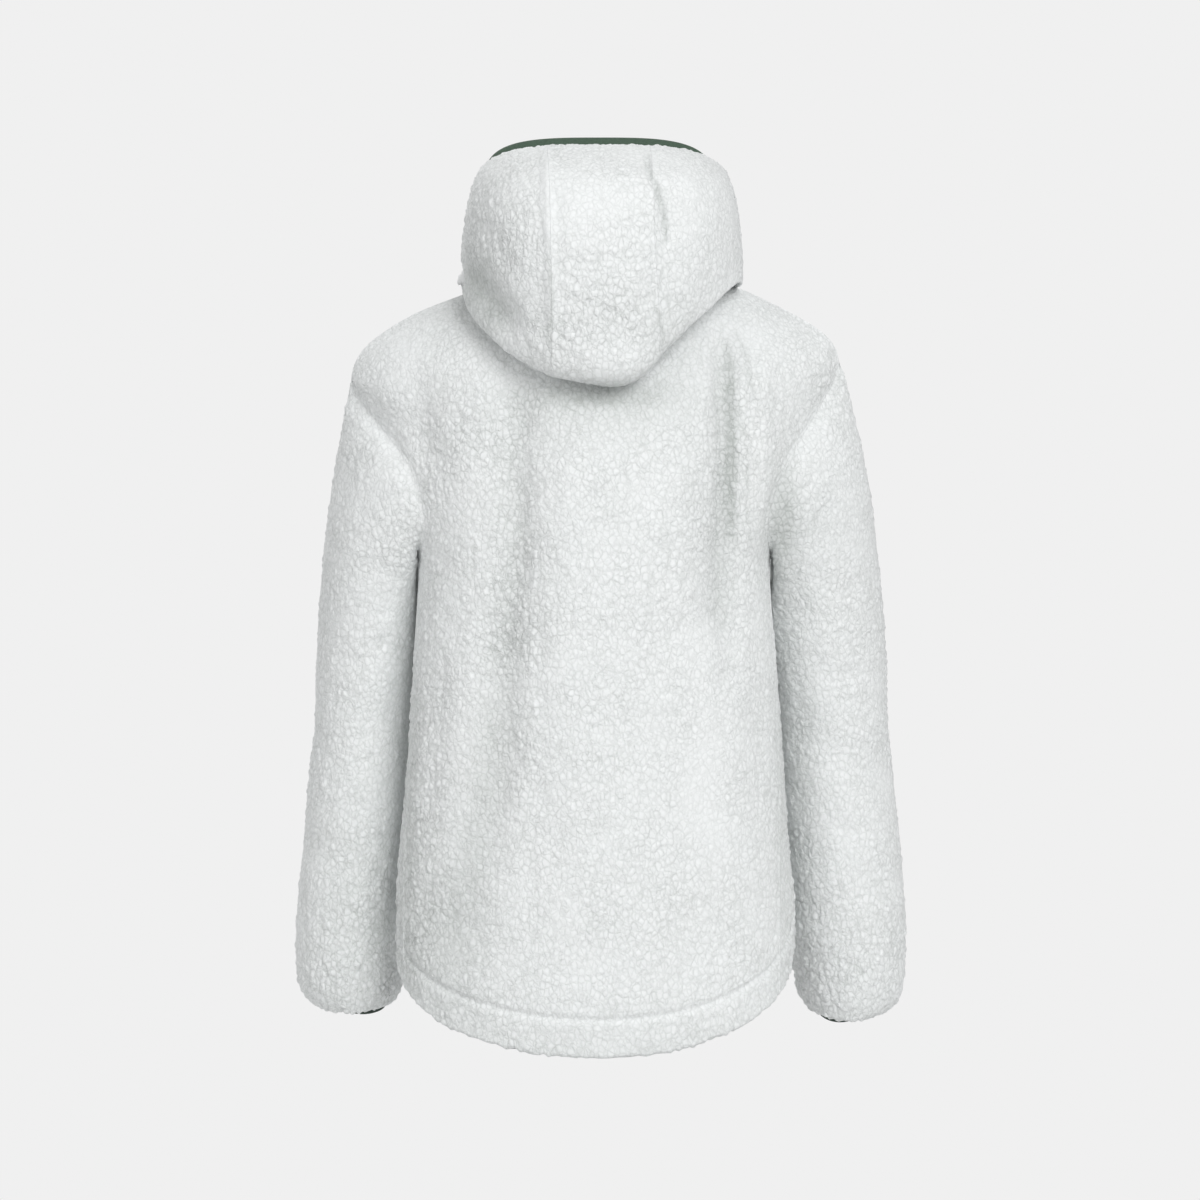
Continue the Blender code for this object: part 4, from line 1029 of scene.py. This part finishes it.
def panel_grid(name, step):
    """A panel's smooth surface as an even grid, with the solids' folds and the finer creases."""
    surface, last, wrap = panel_surface(name)
    places = even_places(lambda rows: surface(rows, np.linspace(0, 1, MEASURED_LINES)), last, step)
    sampled = surface(places[::MEASURED_ROWS], np.linspace(0, 1, MEASURED_POINTS))
    width = np.percentile(lengths(sampled)[:, -1], WIDTH_PERCENTILE)
    count = max(int(round(width / step / INNER_STEP)), 2) * INNER_STEP
    u = np.linspace(0, 1, count + 1)
    grid = surface(places, u[:-1] if wrap else u)
    group = panel_group(name)
    middle, folds = FORM_FOLDS[group]
    fade = np.clip(places / FOLD_FADE_ROWS, 0.0, 1.0)[:, None]
    if group == "body":
        columns = HALF_COLUMNS * (1 - np.abs(2 * u - 1) if name == "back" else u)
        fade = np.clip((last - places) / FOLD_FADE_ROWS, 0.0, 1.0)[:, None]
        fade = fade * np.clip(columns / FOLD_FADE_COLUMNS, 0.0, 1.0)[None]
    way = OUTWARD[name]
    fine = fold_depth(grid, middle, FINE_FOLDS[group], taper=1.0)
    if group == "hood":
        fine = fine * smooth_step(*HOOD_FINE_ROWS, places)[:, None]
    depth = (fold_depth(grid, middle, folds) + fine) * fade
    grid = grid - normals_of(grid, wrap, way) * depth[:, :, None]
    return grid, normals_of(grid, wrap, way), places, wrap, depth


def swell_height(points, swells):
    """Height of the cloth's swells: a bell curve of the distance to each one's middle."""
    total = np.zeros(points.shape[:-1])
    for height, radius, middle in swells:
        offset = (points - np.array(middle, float)) / np.array(radius, float)
        total += height * np.exp(-(offset**2).sum(axis=-1))
    return total


def build_panel(name, sizes):
    """One fleece panel: a closed wall with curled pile outside and a smoother knit inside.

    The outer points are the surface plus the pile's height along its normal. Near a seam the
    pile fades and the cloth sinks by a bell curve, and free edges roll in by a quarter circle.
    """
    group = panel_group(name)
    grid, normal, places, wrap, depth = panel_grid(
        name, sizes.grid_step / MM * GRID_SCALE.get(name, 1.0))
    grid = grid + normal * swell_height(grid, SWELLS[group])[:, :, None]
    PANELS[name] = (grid, normal)
    height, shade, open_pile = pile(grid, sizes)
    sink, roll, calm, meet = (np.full(grid.shape[:2], start) for start in (0.0, 0.0, 1.0, 1.0))
    distances = edge_distances(grid, wrap)
    for edge, share in SEAMS[name].items():
        near = bell(distances[edge], sizes.seam_width / MM)
        sink += near * sizes.seam_sink / MM * share
        calm *= 1.0 - SEAM_CALM * near
        meet = np.minimum(meet, smooth_step(0.0, SEAM_MEET, distances[edge]))
    for edge in set(distances) - set(SEAMS[name]):
        t = np.clip(1.0 - distances[edge] / EDGE_ROLL, 0.0, 1.0)
        roll = np.maximum(roll, EDGE_ROLL * (1.0 - np.sqrt(1.0 - t * t)))
    if group == "hood":
        roll += CROWN_SINK * bell(distances["last_row"], CROWN_SINK_WIDTH)
    if group == "body":
        hem = distances["first_row"]
        stitch = np.array([np.interp(HEM_STITCH_ROW, places, column) for column in hem.T])
        near = bell(hem - stitch[None], HEM_STITCH_HALF_WIDTH)
        sink += near * HEM_STITCH_SINK
        calm *= 1.0 - HEM_STITCH_CALM * near
    outer = grid + normal * ((height * calm - sink - PILE_MIDDLE) * meet - roll)[:, :, None]
    if group != "hood":
        free, beside = (-1, -2) if wrap else (0, 1)
        tufts = RAGGED * mixed_clouds(grid[free], RAGGED_CLOUDS, RAGGED_MEAN)
        away = unit(grid[free] - grid[beside]) * tufts[:, None]
        for index, share in enumerate(RAGGED_ROWS):
            outer[-1 - index if wrap else index] += away * share
    for edge in SEAMS[name]:
        rows = outer if edge.endswith("row") else outer.transpose(1, 0, 2)
        first, second = (0, 1) if edge.startswith("first") else (-1, -2)
        step = rows[second] - rows[first]
        rows[first] += step / np.linalg.norm(step, axis=1, keepdims=True) * SEAM_GAP / 2
    inner = (grid - normal * FLEECE_WALL)[::INNER_STEP, ::INNER_STEP]
    if group == "hood":
        inner[-1] += normal[-1, ::INNER_STEP] * HOOD_EDGE_TAPER
    points, faces = closed_wall(outer, inner, INNER_STEP, wrap)
    # Positive crease lines paint shade, made uneven by the clouds; negative ones lay the curls flat
    lines = fold_depth(grid, FORM_FOLDS[group][0], FLAT_PILE_AND_CREASE_SHADE_LINES[group], taper=1.0)
    # Painted shade: troughs, the shaded areas and the crease lines are darkened in colour
    dusk = smooth_step(*TROUGH_SHADE_DEPTHS, depth) * TROUGH_PAINTED_SHADE + swell_height(grid, PAINTED_SHADE_AREAS)
    dusk += np.maximum(lines, 0.0) * mixed_clouds(grid, CREASE_SHADE_CLOUDS, 1.0)
    open_pile = np.clip(open_pile + np.minimum(lines, 0.0), 0.0, 1.0)
    none = np.zeros(inner[..., 0].size)
    outside = (shade * calm, open_pile, np.ones(shade.shape), np.clip(dusk, 0.0, 1.0))
    values = {key: np.concatenate((value.ravel(), none))
              for key, value in zip(PILE_VALUES, outside)}
    values["crack"][shade.size:] = INSIDE_CRACK
    piece = add_piece("fleece_" + name, points, faces, "fleece", name, values=values)


def build_panels(context, names):
    """Build fleece panels by their names, and say that an operator is done."""
    for name in names:
        build_panel(name, context.scene.jacket_sizes)
    return {"FINISHED"}


def tube(path, side, up, section):
    """A section carried along a path: each path point plus its two axes times the section."""
    return path[:, None] + side[:, None] * section[None, :, :1] + up[:, None] * section[None, :, 1:]


def circle(count):
    """Angles evenly round a circle."""
    return np.linspace(0.0, 2 * math.pi, count, endpoint=False)


def rounded(half_width, half_height, count, square):
    """A rounded section: a circle whose cosine and sine are raised to a power below 1."""
    cosine, sine = np.cos(circle(count)), np.sin(circle(count))
    return np.stack((half_width * np.sign(cosine) * np.abs(cosine) ** square,
                     half_height * np.sign(sine) * np.abs(sine) ** square), axis=1)


def tube_faces(rows, columns, closed):
    """Quads round a tube, and its two end faces unless it closes on itself."""
    faces = grid_quads(rows, columns, closed, True).tolist()
    if not closed:
        faces.append(list(range(columns))[::-1])
        faces.append([(rows - 1) * columns + i for i in range(columns)])
    return faces


def unit(vectors):
    """Vectors scaled to length 1."""
    return vectors / (np.linalg.norm(vectors, axis=-1, keepdims=True) + 1e-9)


def repeat_form(form, form_faces, centres, axes):
    """Copies of one small form: each centre plus the form's points along its three axes."""
    points = centres[:, None] + np.einsum("pk,nkj->npj", form, axes)
    shift = np.arange(len(centres))[:, None] * len(form)
    faces = []
    for face in form_faces:
        faces += (np.array(face)[None] + shift).tolist()
    return points.reshape(-1, 3), faces


def along_path(path, pitch, margin):
    """Evenly spaced places on a path, as row numbers with fractions."""
    run = lengths(path[None])[0]
    count = int((run[-1] - 2 * margin) / pitch)
    marks = margin + pitch * (np.arange(count) + 0.5)
    return np.interp(marks, run, np.arange(len(path)))


def read_at(values, places):
    """Read an array of points at row numbers with fractions."""
    low = np.clip(np.floor(places).astype(int), 0, len(values) - 2)
    t = (places - low)[:, None]
    return values[low] * (1 - t) + values[low + 1] * t


def stitch_form(half_length, radius):
    """A stitch: a round bar along x whose radius falls to its ends with a half circle."""
    rings = np.linspace(-1.0, 1.0, STITCH_RINGS)
    angle = circle(STITCH_SIDES)
    swell = np.sqrt(np.clip(1.0 - STITCH_TAPER * rings**2, 0.0, 1.0)) * radius
    points = np.stack((
        np.repeat(rings * half_length, len(angle)),
        (swell[:, None] * np.cos(angle)[None]).ravel(),
        (swell[:, None] * np.sin(angle)[None]).ravel(),
    ), axis=1)
    return points, tube_faces(len(rings), len(angle), False)


def add_stitches(name, path, lie, out, sizes, look):
    """A row of stitches along a path, each a short bar half sunk in the cloth."""
    places = along_path(path, sizes.stitch_pitch / MM, sizes.stitch_pitch / MM)
    centres = read_at(path, places)
    ahead = unit(read_at(np.gradient(path, axis=0), places))
    up = unit(read_at(out, places))
    across = unit(np.cross(up, ahead))
    form, form_faces = stitch_form(sizes.stitch_pitch / MM * STITCH_SHARE, STITCH_RADIUS)
    axes = np.stack((ahead, across, up), axis=1)
    points, faces = repeat_form(form, form_faces, centres + up * lie, axes)
    return add_piece(name, points, faces, look)


def hood_edge():
    """The hood's face edge from the right chin over the crown to the left chin.

    Gives the edge's points, the points one row before them and the cloth's outward normals.
    """
    last = row_of(HOOD_RINGS)
    columns = np.linspace(0, 2 * HALF_COLUMNS, HOOD_EDGE_COLUMNS)
    rows = np.array([last - 1.0, last])
    halves = []
    for side in (-1, 1):
        grid = hood_half(rows, side, columns)
        halves.append((grid, normals_of(grid, False, -side)))
    joined = [np.concatenate((halves[0][k][:, :0:-1], halves[1][k]), axis=1) for k in (0, 1)]
    grid, facing = joined
    return grid[1], grid[0], unit(smooth_line(facing[1]))


def smooth_line(values):
    """A line of vectors with each one averaged with its neighbours, three times."""
    for _ in range(3):
        middle = (values[:-2] + values[1:-1] + values[2:]) / 3
        values = np.concatenate((values[:1], middle, values[-1:]))
    return values


def cuff_path(ring, facing):
    """The middle line of a cuff binding, just inside the sleeve's last ring."""
    middle = ring.mean(axis=0)
    spokes = ring - middle
    down = unit(np.cross(spokes, np.roll(spokes, -1, axis=0)).sum(axis=0))
    down = -down if down[2] > 0.0 else down
    rims = np.array([ring, ring - facing * FLEECE_WALL])
    middle = rims.mean(axis=(0, 1))
    spokes = rims - middle
    spokes -= (spokes @ down)[:, :, None] * down
    reach = np.linalg.norm(spokes, axis=2)
    spread = unit(spokes.mean(axis=0))
    edge = rims.mean(axis=0) + spread * (reach.min(axis=0) - reach.mean(axis=0))[:, None]
    return edge - spread * (CUFF_GAP + BINDING_WALL / 2), spread, down


def front_line():
    """The front edge from the hem to the chin in the plane x = 0: places and outward normals."""
    line = np.concatenate((PANELS["front_left"][0][:, -1], PANELS["hood_left"][0][1:, -1]))
    line[:, 0] = 0.0
    slope = smooth_line(np.gradient(line, axis=0))
    out = unit(np.stack((np.zeros(len(line)), -slope[:, 2], slope[:, 1]), axis=1))
    return line, out


def tape(name, side, line, out):
    """One zip tape, from the centre line to under the panel, just behind its inner face."""
    panels = [PANELS["front_" + name], PANELS["hood_" + name]]
    skips = (0, 1)
    inside = [(grid - normal * (FLEECE_WALL + TAPE_GAP))[skip:]
              for (grid, normal), skip in zip(panels, skips)]
    edge = np.concatenate([grid[:, -1] for grid in inside])
    beside = np.concatenate([grid[:, -TAPE_BESIDE] for grid in inside])
    facing = np.concatenate([normal[skip:, -1] for (grid, normal), skip in zip(panels, skips)])
    count = min(len(line), len(edge))
    line, out, edge, beside, facing = (part[:count] for part in (line, out, edge, beside, facing))
    under = edge + unit(beside - edge) * TAPE_UNDER_PANEL
    centre = line + np.array([side * TAPE_INNER_X, 0.0, 0.0]) - out * (FLEECE_WALL + TAPE_GAP)
    shares = np.linspace(0.0, 1.0, TAPE_COLUMNS)[None, :, None]
    outer = np.concatenate((centre[:, None] + (edge - centre)[:, None] * shares,
                            edge[:, None] + (under - edge)[:, None] * shares[:, 1:]), axis=1)
    ways = np.concatenate((out[:, None] + (facing - out)[:, None] * shares,
                           np.repeat(facing[:, None], shares.shape[1] - 1, axis=1)), axis=1)
    inner = outer - unit(ways) * TAPE_WALL
    points, faces = closed_wall(outer, inner, 1, False)
    return points, faces, lengths(line[None])[0, -1]


def teeth(line, out, pitch):
    """Two rows of moulded teeth that mesh along the zip below the slider.

    A tooth is a prism. Its outline runs from the tape to past the centre line, narrow at the
    neck and wide at the head, and the right row starts half a pitch lower.
    """
    below = line[:, 2] < SLIDER_HEIGHT - TEETH_BELOW_SLIDER
    line, out = line[below], out[below]
    count = len(TOOTH_OUTLINE)
    form = np.concatenate([np.column_stack((TOOTH_OUTLINE, np.full(count, depth)))
                           for depth in (TOOTH_DEPTH / 2, -TOOTH_DEPTH / 2)])
    form_faces = [list(range(count)), list(range(2 * count - 1, count - 1, -1))]
    form_faces += [[i, i + count, (i + 1) % count + count, (i + 1) % count] for i in range(count)]
    points, faces = [], []
    for side in (1, -1):
        places = along_path(line, pitch, pitch if side > 0 else pitch / 2)
        centres, facing = read_at(line, places), unit(read_at(out, places))
        centres = centres - facing * TOOTH_MIDDLE
        across = np.broadcast_to(np.array([float(side), 0.0, 0.0]), centres.shape)
        up = unit(np.cross(facing, across) * side)
        axes = np.stack((across, up, facing), axis=1)
        made, made_faces = repeat_form(form, form_faces, centres, axes)
        if side < 0:
            made_faces = [face[::-1] for face in made_faces]
        shift = sum(map(len, points))
        faces += [[corner + shift for corner in face] for face in made_faces]
        points.append(made)
    return np.concatenate(points), faces


class Wire:
    """A shader socket that takes part in Python sums, so that maths reads as it is written."""

    def __init__(self, tree, socket):
        self.tree = tree
        self.socket = socket

    def maths(self, operation, *others):
        """A Math node with this value first."""
        return node(self.tree, "Math", dict(enumerate((self, *others))), {"operation": operation})

    def __add__(self, other):
        return self.maths("ADD", other)

    def __mul__(self, other):
        return self.maths("MULTIPLY", other)

    def __sub__(self, other):
        return self.maths("SUBTRACT", other)

    def __pow__(self, other):
        return self.maths("POWER", other)

    def __rsub__(self, other):
        return (self * -1.0) + other

    __radd__ = __add__
    __rmul__ = __mul__

    def clamp(self):
        """This value held between 0 and 1."""
        return self.maths("MINIMUM", 1.0).maths("MAXIMUM", 0.0)

    def ramp(self, gain, lift):
        """This value times a gain plus a lift, held between 0 and 1."""
        return (self * gain + lift).clamp()

    def sine(self):
        """The sine of this value."""
        return self.maths("SINE")


def plug(tree, socket, value):
    """Give a socket a link or a plain value."""
    if isinstance(value, Wire):
        tree.links.new(value.socket, socket)
    elif socket.type == "RGBA" and len(value) == 3:
        socket.default_value = (*value, 1.0)
    else:
        socket.default_value = value


def node(tree, kind, values, settings=None, out=0):
    """A node: its settings first, then its sockets by name or number, and one of its outputs."""
    made = tree.nodes.new("ShaderNode" + kind)
    for key, value in (settings or {}).items():
        setattr(made, key, value)
    for key, value in values.items():
        plug(tree, made.inputs[key], value)
    return Wire(tree, made.outputs[out])


def noise(tree, place, scale, detail):
    """Smooth noise from 0 to 1."""
    return node(tree, "TexNoise", {"Vector": place, "Scale": scale, "Detail": detail})


def blend(tree, share, first, second):
    """A colour between two others."""
    return node(tree, "Mix", {0: share, 6: first, 7: second}, {"data_type": "RGBA"}, 2)


def shaded(colour, gain, lift=0.0):
    """A colour made lighter or darker, no channel over 1."""
    return tuple(min(value * gain + lift, 1.0) for value in colour)


def place_of(tree):
    """A piece's own coordinates, in metres in the row frame."""
    return node(tree, "TexCoord", {}, out="Object")


def axes_of(tree, vector):
    """The three parts of a vector."""
    split = node(tree, "SeparateXYZ", {0: vector})
    return [Wire(tree, socket) for socket in split.socket.node.outputs]


def new_finish(name, colour, roughness, metallic=0.0, sheen=(0.0, 0.5)):
    """A material with its constant values, and the shader node to wire up."""
    made = bpy.data.materials.new(name)
    made.use_nodes = True
    made.diffuse_color = (*colour, 1.0)
    shader = made.node_tree.nodes["Principled BSDF"]
    for key, value in (("Base Color", (*colour, 1.0)), ("Roughness", roughness),
                       ("Metallic", metallic), ("Sheen Weight", sheen[0]),
                       ("Sheen Roughness", sheen[1])):
        shader.inputs[key].default_value = value
    return made, made.node_tree, shader


def bump(tree, shader, height, strength, distance):
    """Feed a height to the shader's normal."""
    facing = node(tree, "Bump", {"Strength": strength, "Distance": distance, "Height": height})
    plug(tree, shader.inputs["Normal"], facing)


def curl_cells(tree, place, scale, wander):
    """Distance from the borders of irregular cells, in shares of a cell.

    The cells are longer than wide, and noise moves them, so that their borders wander.
    """
    warp = node(tree, "TexNoise", {
        "Vector": place, "Scale": scale * WARP_SCALE, "Detail": WARP_DETAIL,
        "Roughness": WARP_ROUGHNESS}, out=1)
    moved = node(tree, "VectorMath", {0: warp, 1: (wander,) * 3, 2: place},
                 {"operation": "MULTIPLY_ADD"})
    squeezed = node(tree, "VectorMath", {0: moved, 1: SHADER_STRETCH}, {"operation": "MULTIPLY"})
    return node(tree, "TexVoronoi", {"Vector": squeezed, "Scale": scale},
                {"feature": "DISTANCE_TO_EDGE"})


def fleece_finish(colours):
    """Curled pile: pale tips, shade painted into the cracks, creases, troughs and shaded areas,
    fine curls of their own and soft uneven areas.
    """
    made, tree, shader = new_finish("pile_fleece", colours.pile, 1.0, sheen=PILE_SHEEN)
    place = place_of(tree)
    crack, open_pile, pile_side, dusk = (
        node(tree, "Attribute", {}, {"attribute_name": key}, 2) for key in PILE_VALUES)
    curl = curl_cells(tree, place, *SHADER_CURLS)
    group = curl_cells(tree, place, *SHADER_GROUPS)
    fine = curl.ramp(*CURL_CRACK_RAMP) ** CURL_CRACK_POWER
    wide = group.ramp(*GROUP_CRACK_RAMP)
    dome = 1.0 - curl.ramp(*DOME_RAMP) ** DOME_POWER
    fibres, patches, areas = (noise(tree, place, *kind) for kind in (FIBRES, PATCHES, AREAS))
    patchy = patches.ramp(*PATCH_RAMP) * PATCH_RANGE + PATCH_LEAST
    reach = patchy * (open_pile * OPEN_RANGE + MATTED_LEAST)
    # Painted shade: cracks, creases, troughs and shaded areas darken the colour towards the crack
    # shade
    deep = ((fine * CURL_TONE + wide * GROUP_TONE) * reach + crack * CRACK_TONE
            + dusk * PAINTED_SHADE_TONE + LEAST_TONE)
    tone = blend(tree, deep.clamp(), colours.pile, colours.crack)
    cool = tuple(value * tint for value, tint in zip(colours.pile, COOL_TINT))
    tone = blend(tree, areas.ramp(*AREA_RAMP) * (1.0 - deep).clamp() * AREA_TONE, tone, cool)
    tone = blend(tree, pile_side, shaded(colours.pile, INSIDE_TONE), tone)
    plug(tree, shader.inputs["Base Color"], tone)
    relief = (dome * DOME_RELIEF - wide * GROUP_RELIEF) * reach + fibres * FIBRE_RELIEF
    bump(tree, shader, relief, *PILE_BUMP)
    return made


def woven_finish(name, colour, pitch, roughness):
    """A fine plain weave: the product of two sines across the cloth, with flecks of colour."""
    made, tree, shader = new_finish(name, colour, roughness, sheen=WEAVE_SHEEN)
    place = place_of(tree)
    x, y, z = axes_of(tree, place)
    turn = 2 * math.pi / (pitch * MM)
    weave = ((x + y) * turn).sine() * ((z - y * WEAVE_SLANT) * turn).sine()
    flecks = noise(tree, place, *FLECKS)
    light = shaded(colour, *WEAVE_LIGHT)
    tone = blend(tree, flecks.ramp(*FLECK_RAMP), shaded(colour, WEAVE_DARK), light)
    tone = blend(tree, weave.ramp(*WEAVE_RAMP), tone, light)
    plug(tree, shader.inputs["Base Color"], tone)
    bump(tree, shader, (weave + flecks) * WEAVE_RELIEF, *WEAVE_BUMP)
    return made


def metal_finish(name, colour, metallic, roughness):
    """Painted metal or moulded resin: fine uneven gloss and small wear marks."""
    made, tree, shader = new_finish(name, colour, roughness, metallic)
    marks = noise(tree, place_of(tree), *WEAR)
    plug(tree, shader.inputs["Roughness"], marks.ramp(GLOSS_RANGE, roughness - GLOSS_DROP))
    tone = blend(tree, marks.ramp(*WEAR_RAMP) * WEAR_TONE, colour, shaded(colour, *WEAR_LIGHT))
    plug(tree, shader.inputs["Base Color"], tone)
    bump(tree, shader, marks, *METAL_BUMP)
    return made


def finish(name):
    """One shared material by its name, made when it is first asked for."""
    colours = bpy.context.scene.jacket_colours
    if name in FINISHES:
        return FINISHES[name]
    if name in WEAVES:
        label, colour, gain, pitch, roughness = WEAVES[name]
        made = woven_finish(label, shaded(getattr(colours, colour), gain), pitch, roughness)
    elif name in METALS:
        label, metallic, roughness = METALS[name]
        made = metal_finish(label, colours.metal, metallic, roughness)
    else:
        made = fleece_finish(colours)
    FINISHES[name] = made
    return made


def light_studio(tree, stage):
    """A white studio: pale to look at, and as a light brighter from above than from below."""
    seen = node(tree, "LightPath", {}, out="Is Camera Ray")
    height = axes_of(tree, node(tree, "TexCoord", {}, out="Generated"))[2]
    low, high = ((stage.ambient * share,) * 3 for share in (LOW_SHARE, HIGH_SHARE))
    light = blend(tree, height.ramp(0.5, 0.5), low, high)
    sky = tree.nodes["Background"]
    plug(tree, sky.inputs["Color"], blend(tree, seen, light, (BACKGROUND,) * 3))
    sky.inputs["Strength"].default_value = 1.0


def look_along(aim):
    """Turns that point a light's own -Z axis along a direction."""
    flat = math.hypot(aim[0], aim[1])
    return (math.atan2(flat, -aim[2]), 0.0, math.atan2(aim[1], aim[0]) - math.pi / 2)


class JACKET_OT_body(bpy.types.Operator):
    """Build the back and the two fronts"""
    bl_idname = "jacket.body"
    bl_label = "Back and fronts"

    def execute(self, context):
        return build_panels(context, ("back", "front_left", "front_right"))


class JACKET_OT_sleeves(bpy.types.Operator):
    """Build the two sleeves"""
    bl_idname = "jacket.sleeves"
    bl_label = "Sleeves"

    def execute(self, context):
        return build_panels(context, ("sleeve_left", "sleeve_right"))


class JACKET_OT_hood(bpy.types.Operator):
    """Build the three panels of the hood"""
    bl_idname = "jacket.hood"
    bl_label = "Hood"

    def execute(self, context):
        return build_panels(context, ("hood_centre", "hood_left", "hood_right"))


class JACKET_OT_hood_binding(bpy.types.Operator):
    """Build the woven binding round the hood's face edge, with its row of stitches"""
    bl_idname = "jacket.hood_binding"
    bl_label = "Hood binding"

    def execute(self, context):
        sizes = context.scene.jacket_sizes
        edge, before, facing = hood_edge()
        onward = unit(edge - before)
        way = unit(onward + facing * HOOD_BINDING_FLARE)
        side = unit(np.cross(way, np.cross(facing, way)))
        start, end = -BINDING_TUCK, HOOD_BINDING_WIDTH + BINDING_ROUND
        middle = edge - facing * (FLEECE_WALL / 2 + BINDING_IN) + way * (start + end) / 2
        section = rounded((end - start) / 2, BINDING_WALL / 2, *BINDING_SECTION)
        points = tube(middle, way, side, section)
        piece = add_piece("hood_binding", points.reshape(-1, 3),
                          tube_faces(len(edge), len(section), False),
                          "binding", "hood_edge_binding")
        row = middle + way * (-(end - start) / 2 + BINDING_STITCH_IN)
        add_stitches("hood_binding_stitches", row, BINDING_WALL / 2, side, sizes,
                     "thread")
        return {"FINISHED"}


class JACKET_OT_cuff_bindings(bpy.types.Operator):
    """Build the two dark elastic bindings inside the wrist openings"""
    bl_idname = "jacket.cuff_bindings"
    bl_label = "Cuff bindings"

    def execute(self, context):
        for name in ("left", "right"):
            grid, normal = PANELS["sleeve_" + name]
            path, spread, down = cuff_path(grid[-1], normal[-1])
            towards = spread @ np.array(CUFF_LOOSE_WAY[name])
            path = path + down * (CUFF_LOOSE * bell(1.0 - towards, CUFF_LOOSE_REACH))[:, None]
            section = rounded(CUFF_BINDING_WIDTH / 2, BINDING_WALL / 2, *CUFF_SECTION)
            points = tube(path, np.broadcast_to(down, path.shape), spread, section)
            piece = add_piece("cuff_elastic_" + name, points.reshape(-1, 3),
                              tube_faces(len(path), len(section), True),
                              "cuff", "cuff_binding_" + name)
        return {"FINISHED"}


class JACKET_OT_zip(bpy.types.Operator):
    """Build the zip's tapes and teeth, and finish its slider and pull"""
    bl_idname = "jacket.zip"
    bl_label = "Zip"

    def execute(self, context):
        sizes = context.scene.jacket_sizes
        line, out = front_line()
        for name, side in (("left", 1), ("right", -1)):
            points, faces, length = tape(name, side, line, out)
            piece = add_piece("tape_" + name, points, faces, "tape", "zip_tape_" + name)
            length * MM
        points, faces = teeth(line, out, sizes.tooth_pitch / MM)
        add_piece("zip_teeth", points, faces, "teeth", "zip_chain", smooth=False)
        for name in ("zip_slider", "zip_pull"):
            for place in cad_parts[name].material_slots:
                place.material = finish("metal")
        return {"FINISHED"}


class JACKET_OT_stage(bpy.types.Operator):
    """Build the floor, the soft lights and the camera"""
    bl_idname = "jacket.stage"
    bl_label = "Stage"

    def execute(self, context):
        stage = context.scene.jacket_stage
        angle = circle(FLOOR_SIDES)
        ring = np.stack((np.cos(angle), np.sin(angle), np.zeros_like(angle)), axis=1)
        points = ring * FLOOR_RADIUS / MM + np.array([0.0, 0.0, stage.floor_height / MM])
        mesh = bpy.data.meshes.new("floor")
        mesh.from_pydata((points * MM).tolist(), [], [list(range(len(points)))])
        mesh.materials.append(new_finish("floor_paper", (FLOOR_TONE,) * 3, FLOOR_ROUGHNESS)[0])
        link_item("floor", mesh)
        world = bpy.data.worlds.new("studio")
        world.use_nodes = True
        light_studio(world.node_tree, stage)
        context.scene.world = world
        context.scene.view_settings.view_transform = "Standard"
        for name, (place, size) in LIGHTS.items():
            lamp = bpy.data.lights.new(name, "AREA")
            lamp.shape = "SQUARE"
            lamp.size = size
            lamp.energy = getattr(stage, name + "_power")
            item = link_item(name, lamp)
            item.location = place
            item.rotation_euler = look_along(np.array([0.0, 0.0, stage.camera_height]) - place)
        camera = bpy.data.cameras.new("camera")
        camera.sensor_width = SENSOR_WIDTH
        camera.lens = camera.sensor_width * stage.camera_distance / stage.frame_width
        item = link_item("camera", camera)
        item.location = (0.0, stage.camera_distance, stage.camera_height)
        item.rotation_euler = (math.pi / 2, 0.0, math.pi)
        context.scene.camera = item
        return {"FINISHED"}


STEPS = (JACKET_OT_body, JACKET_OT_sleeves, JACKET_OT_hood, JACKET_OT_hood_binding,
         JACKET_OT_cuff_bindings, JACKET_OT_zip, JACKET_OT_stage)


class JACKET_PT_panel(bpy.types.Panel):
    """Sidebar panel that lists the jacket's steps and settings"""
    bl_idname = "JACKET_PT_panel"
    bl_label = "Jacket"
    bl_space_type = "VIEW_3D"
    bl_region_type = "UI"
    bl_category = "Jacket"

    def draw(self, context):
        for step in STEPS:
            self.layout.operator(step.bl_idname)
        for group in (context.scene.jacket_sizes, context.scene.jacket_colours,
                      context.scene.jacket_stage):
            box = self.layout.box()
            for key in group.__annotations__:
                box.prop(group, key)


CLASSES = (JacketSizes, JacketColours, StageSettings, *STEPS, JACKET_PT_panel)


def register():
    """Register the classes and hang the settings on the scene."""
    for kind in CLASSES:
        bpy.utils.register_class(kind)
    bpy.types.Scene.jacket_sizes = bpy.props.PointerProperty(type=JacketSizes)
    bpy.types.Scene.jacket_colours = bpy.props.PointerProperty(type=JacketColours)
    bpy.types.Scene.jacket_stage = bpy.props.PointerProperty(type=StageSettings)


def unregister():
    """Take the settings and classes away again."""
    del bpy.types.Scene.jacket_stage
    del bpy.types.Scene.jacket_colours
    del bpy.types.Scene.jacket_sizes
    for kind in reversed(CLASSES):
        bpy.utils.unregister_class(kind)


def main():
    """Register the add-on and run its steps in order."""
    register()
    for step in STEPS:
        group, verb = step.bl_idname.split(".")
        getattr(getattr(bpy.ops, group), verb)()


if __name__ == "__main__":
    main()
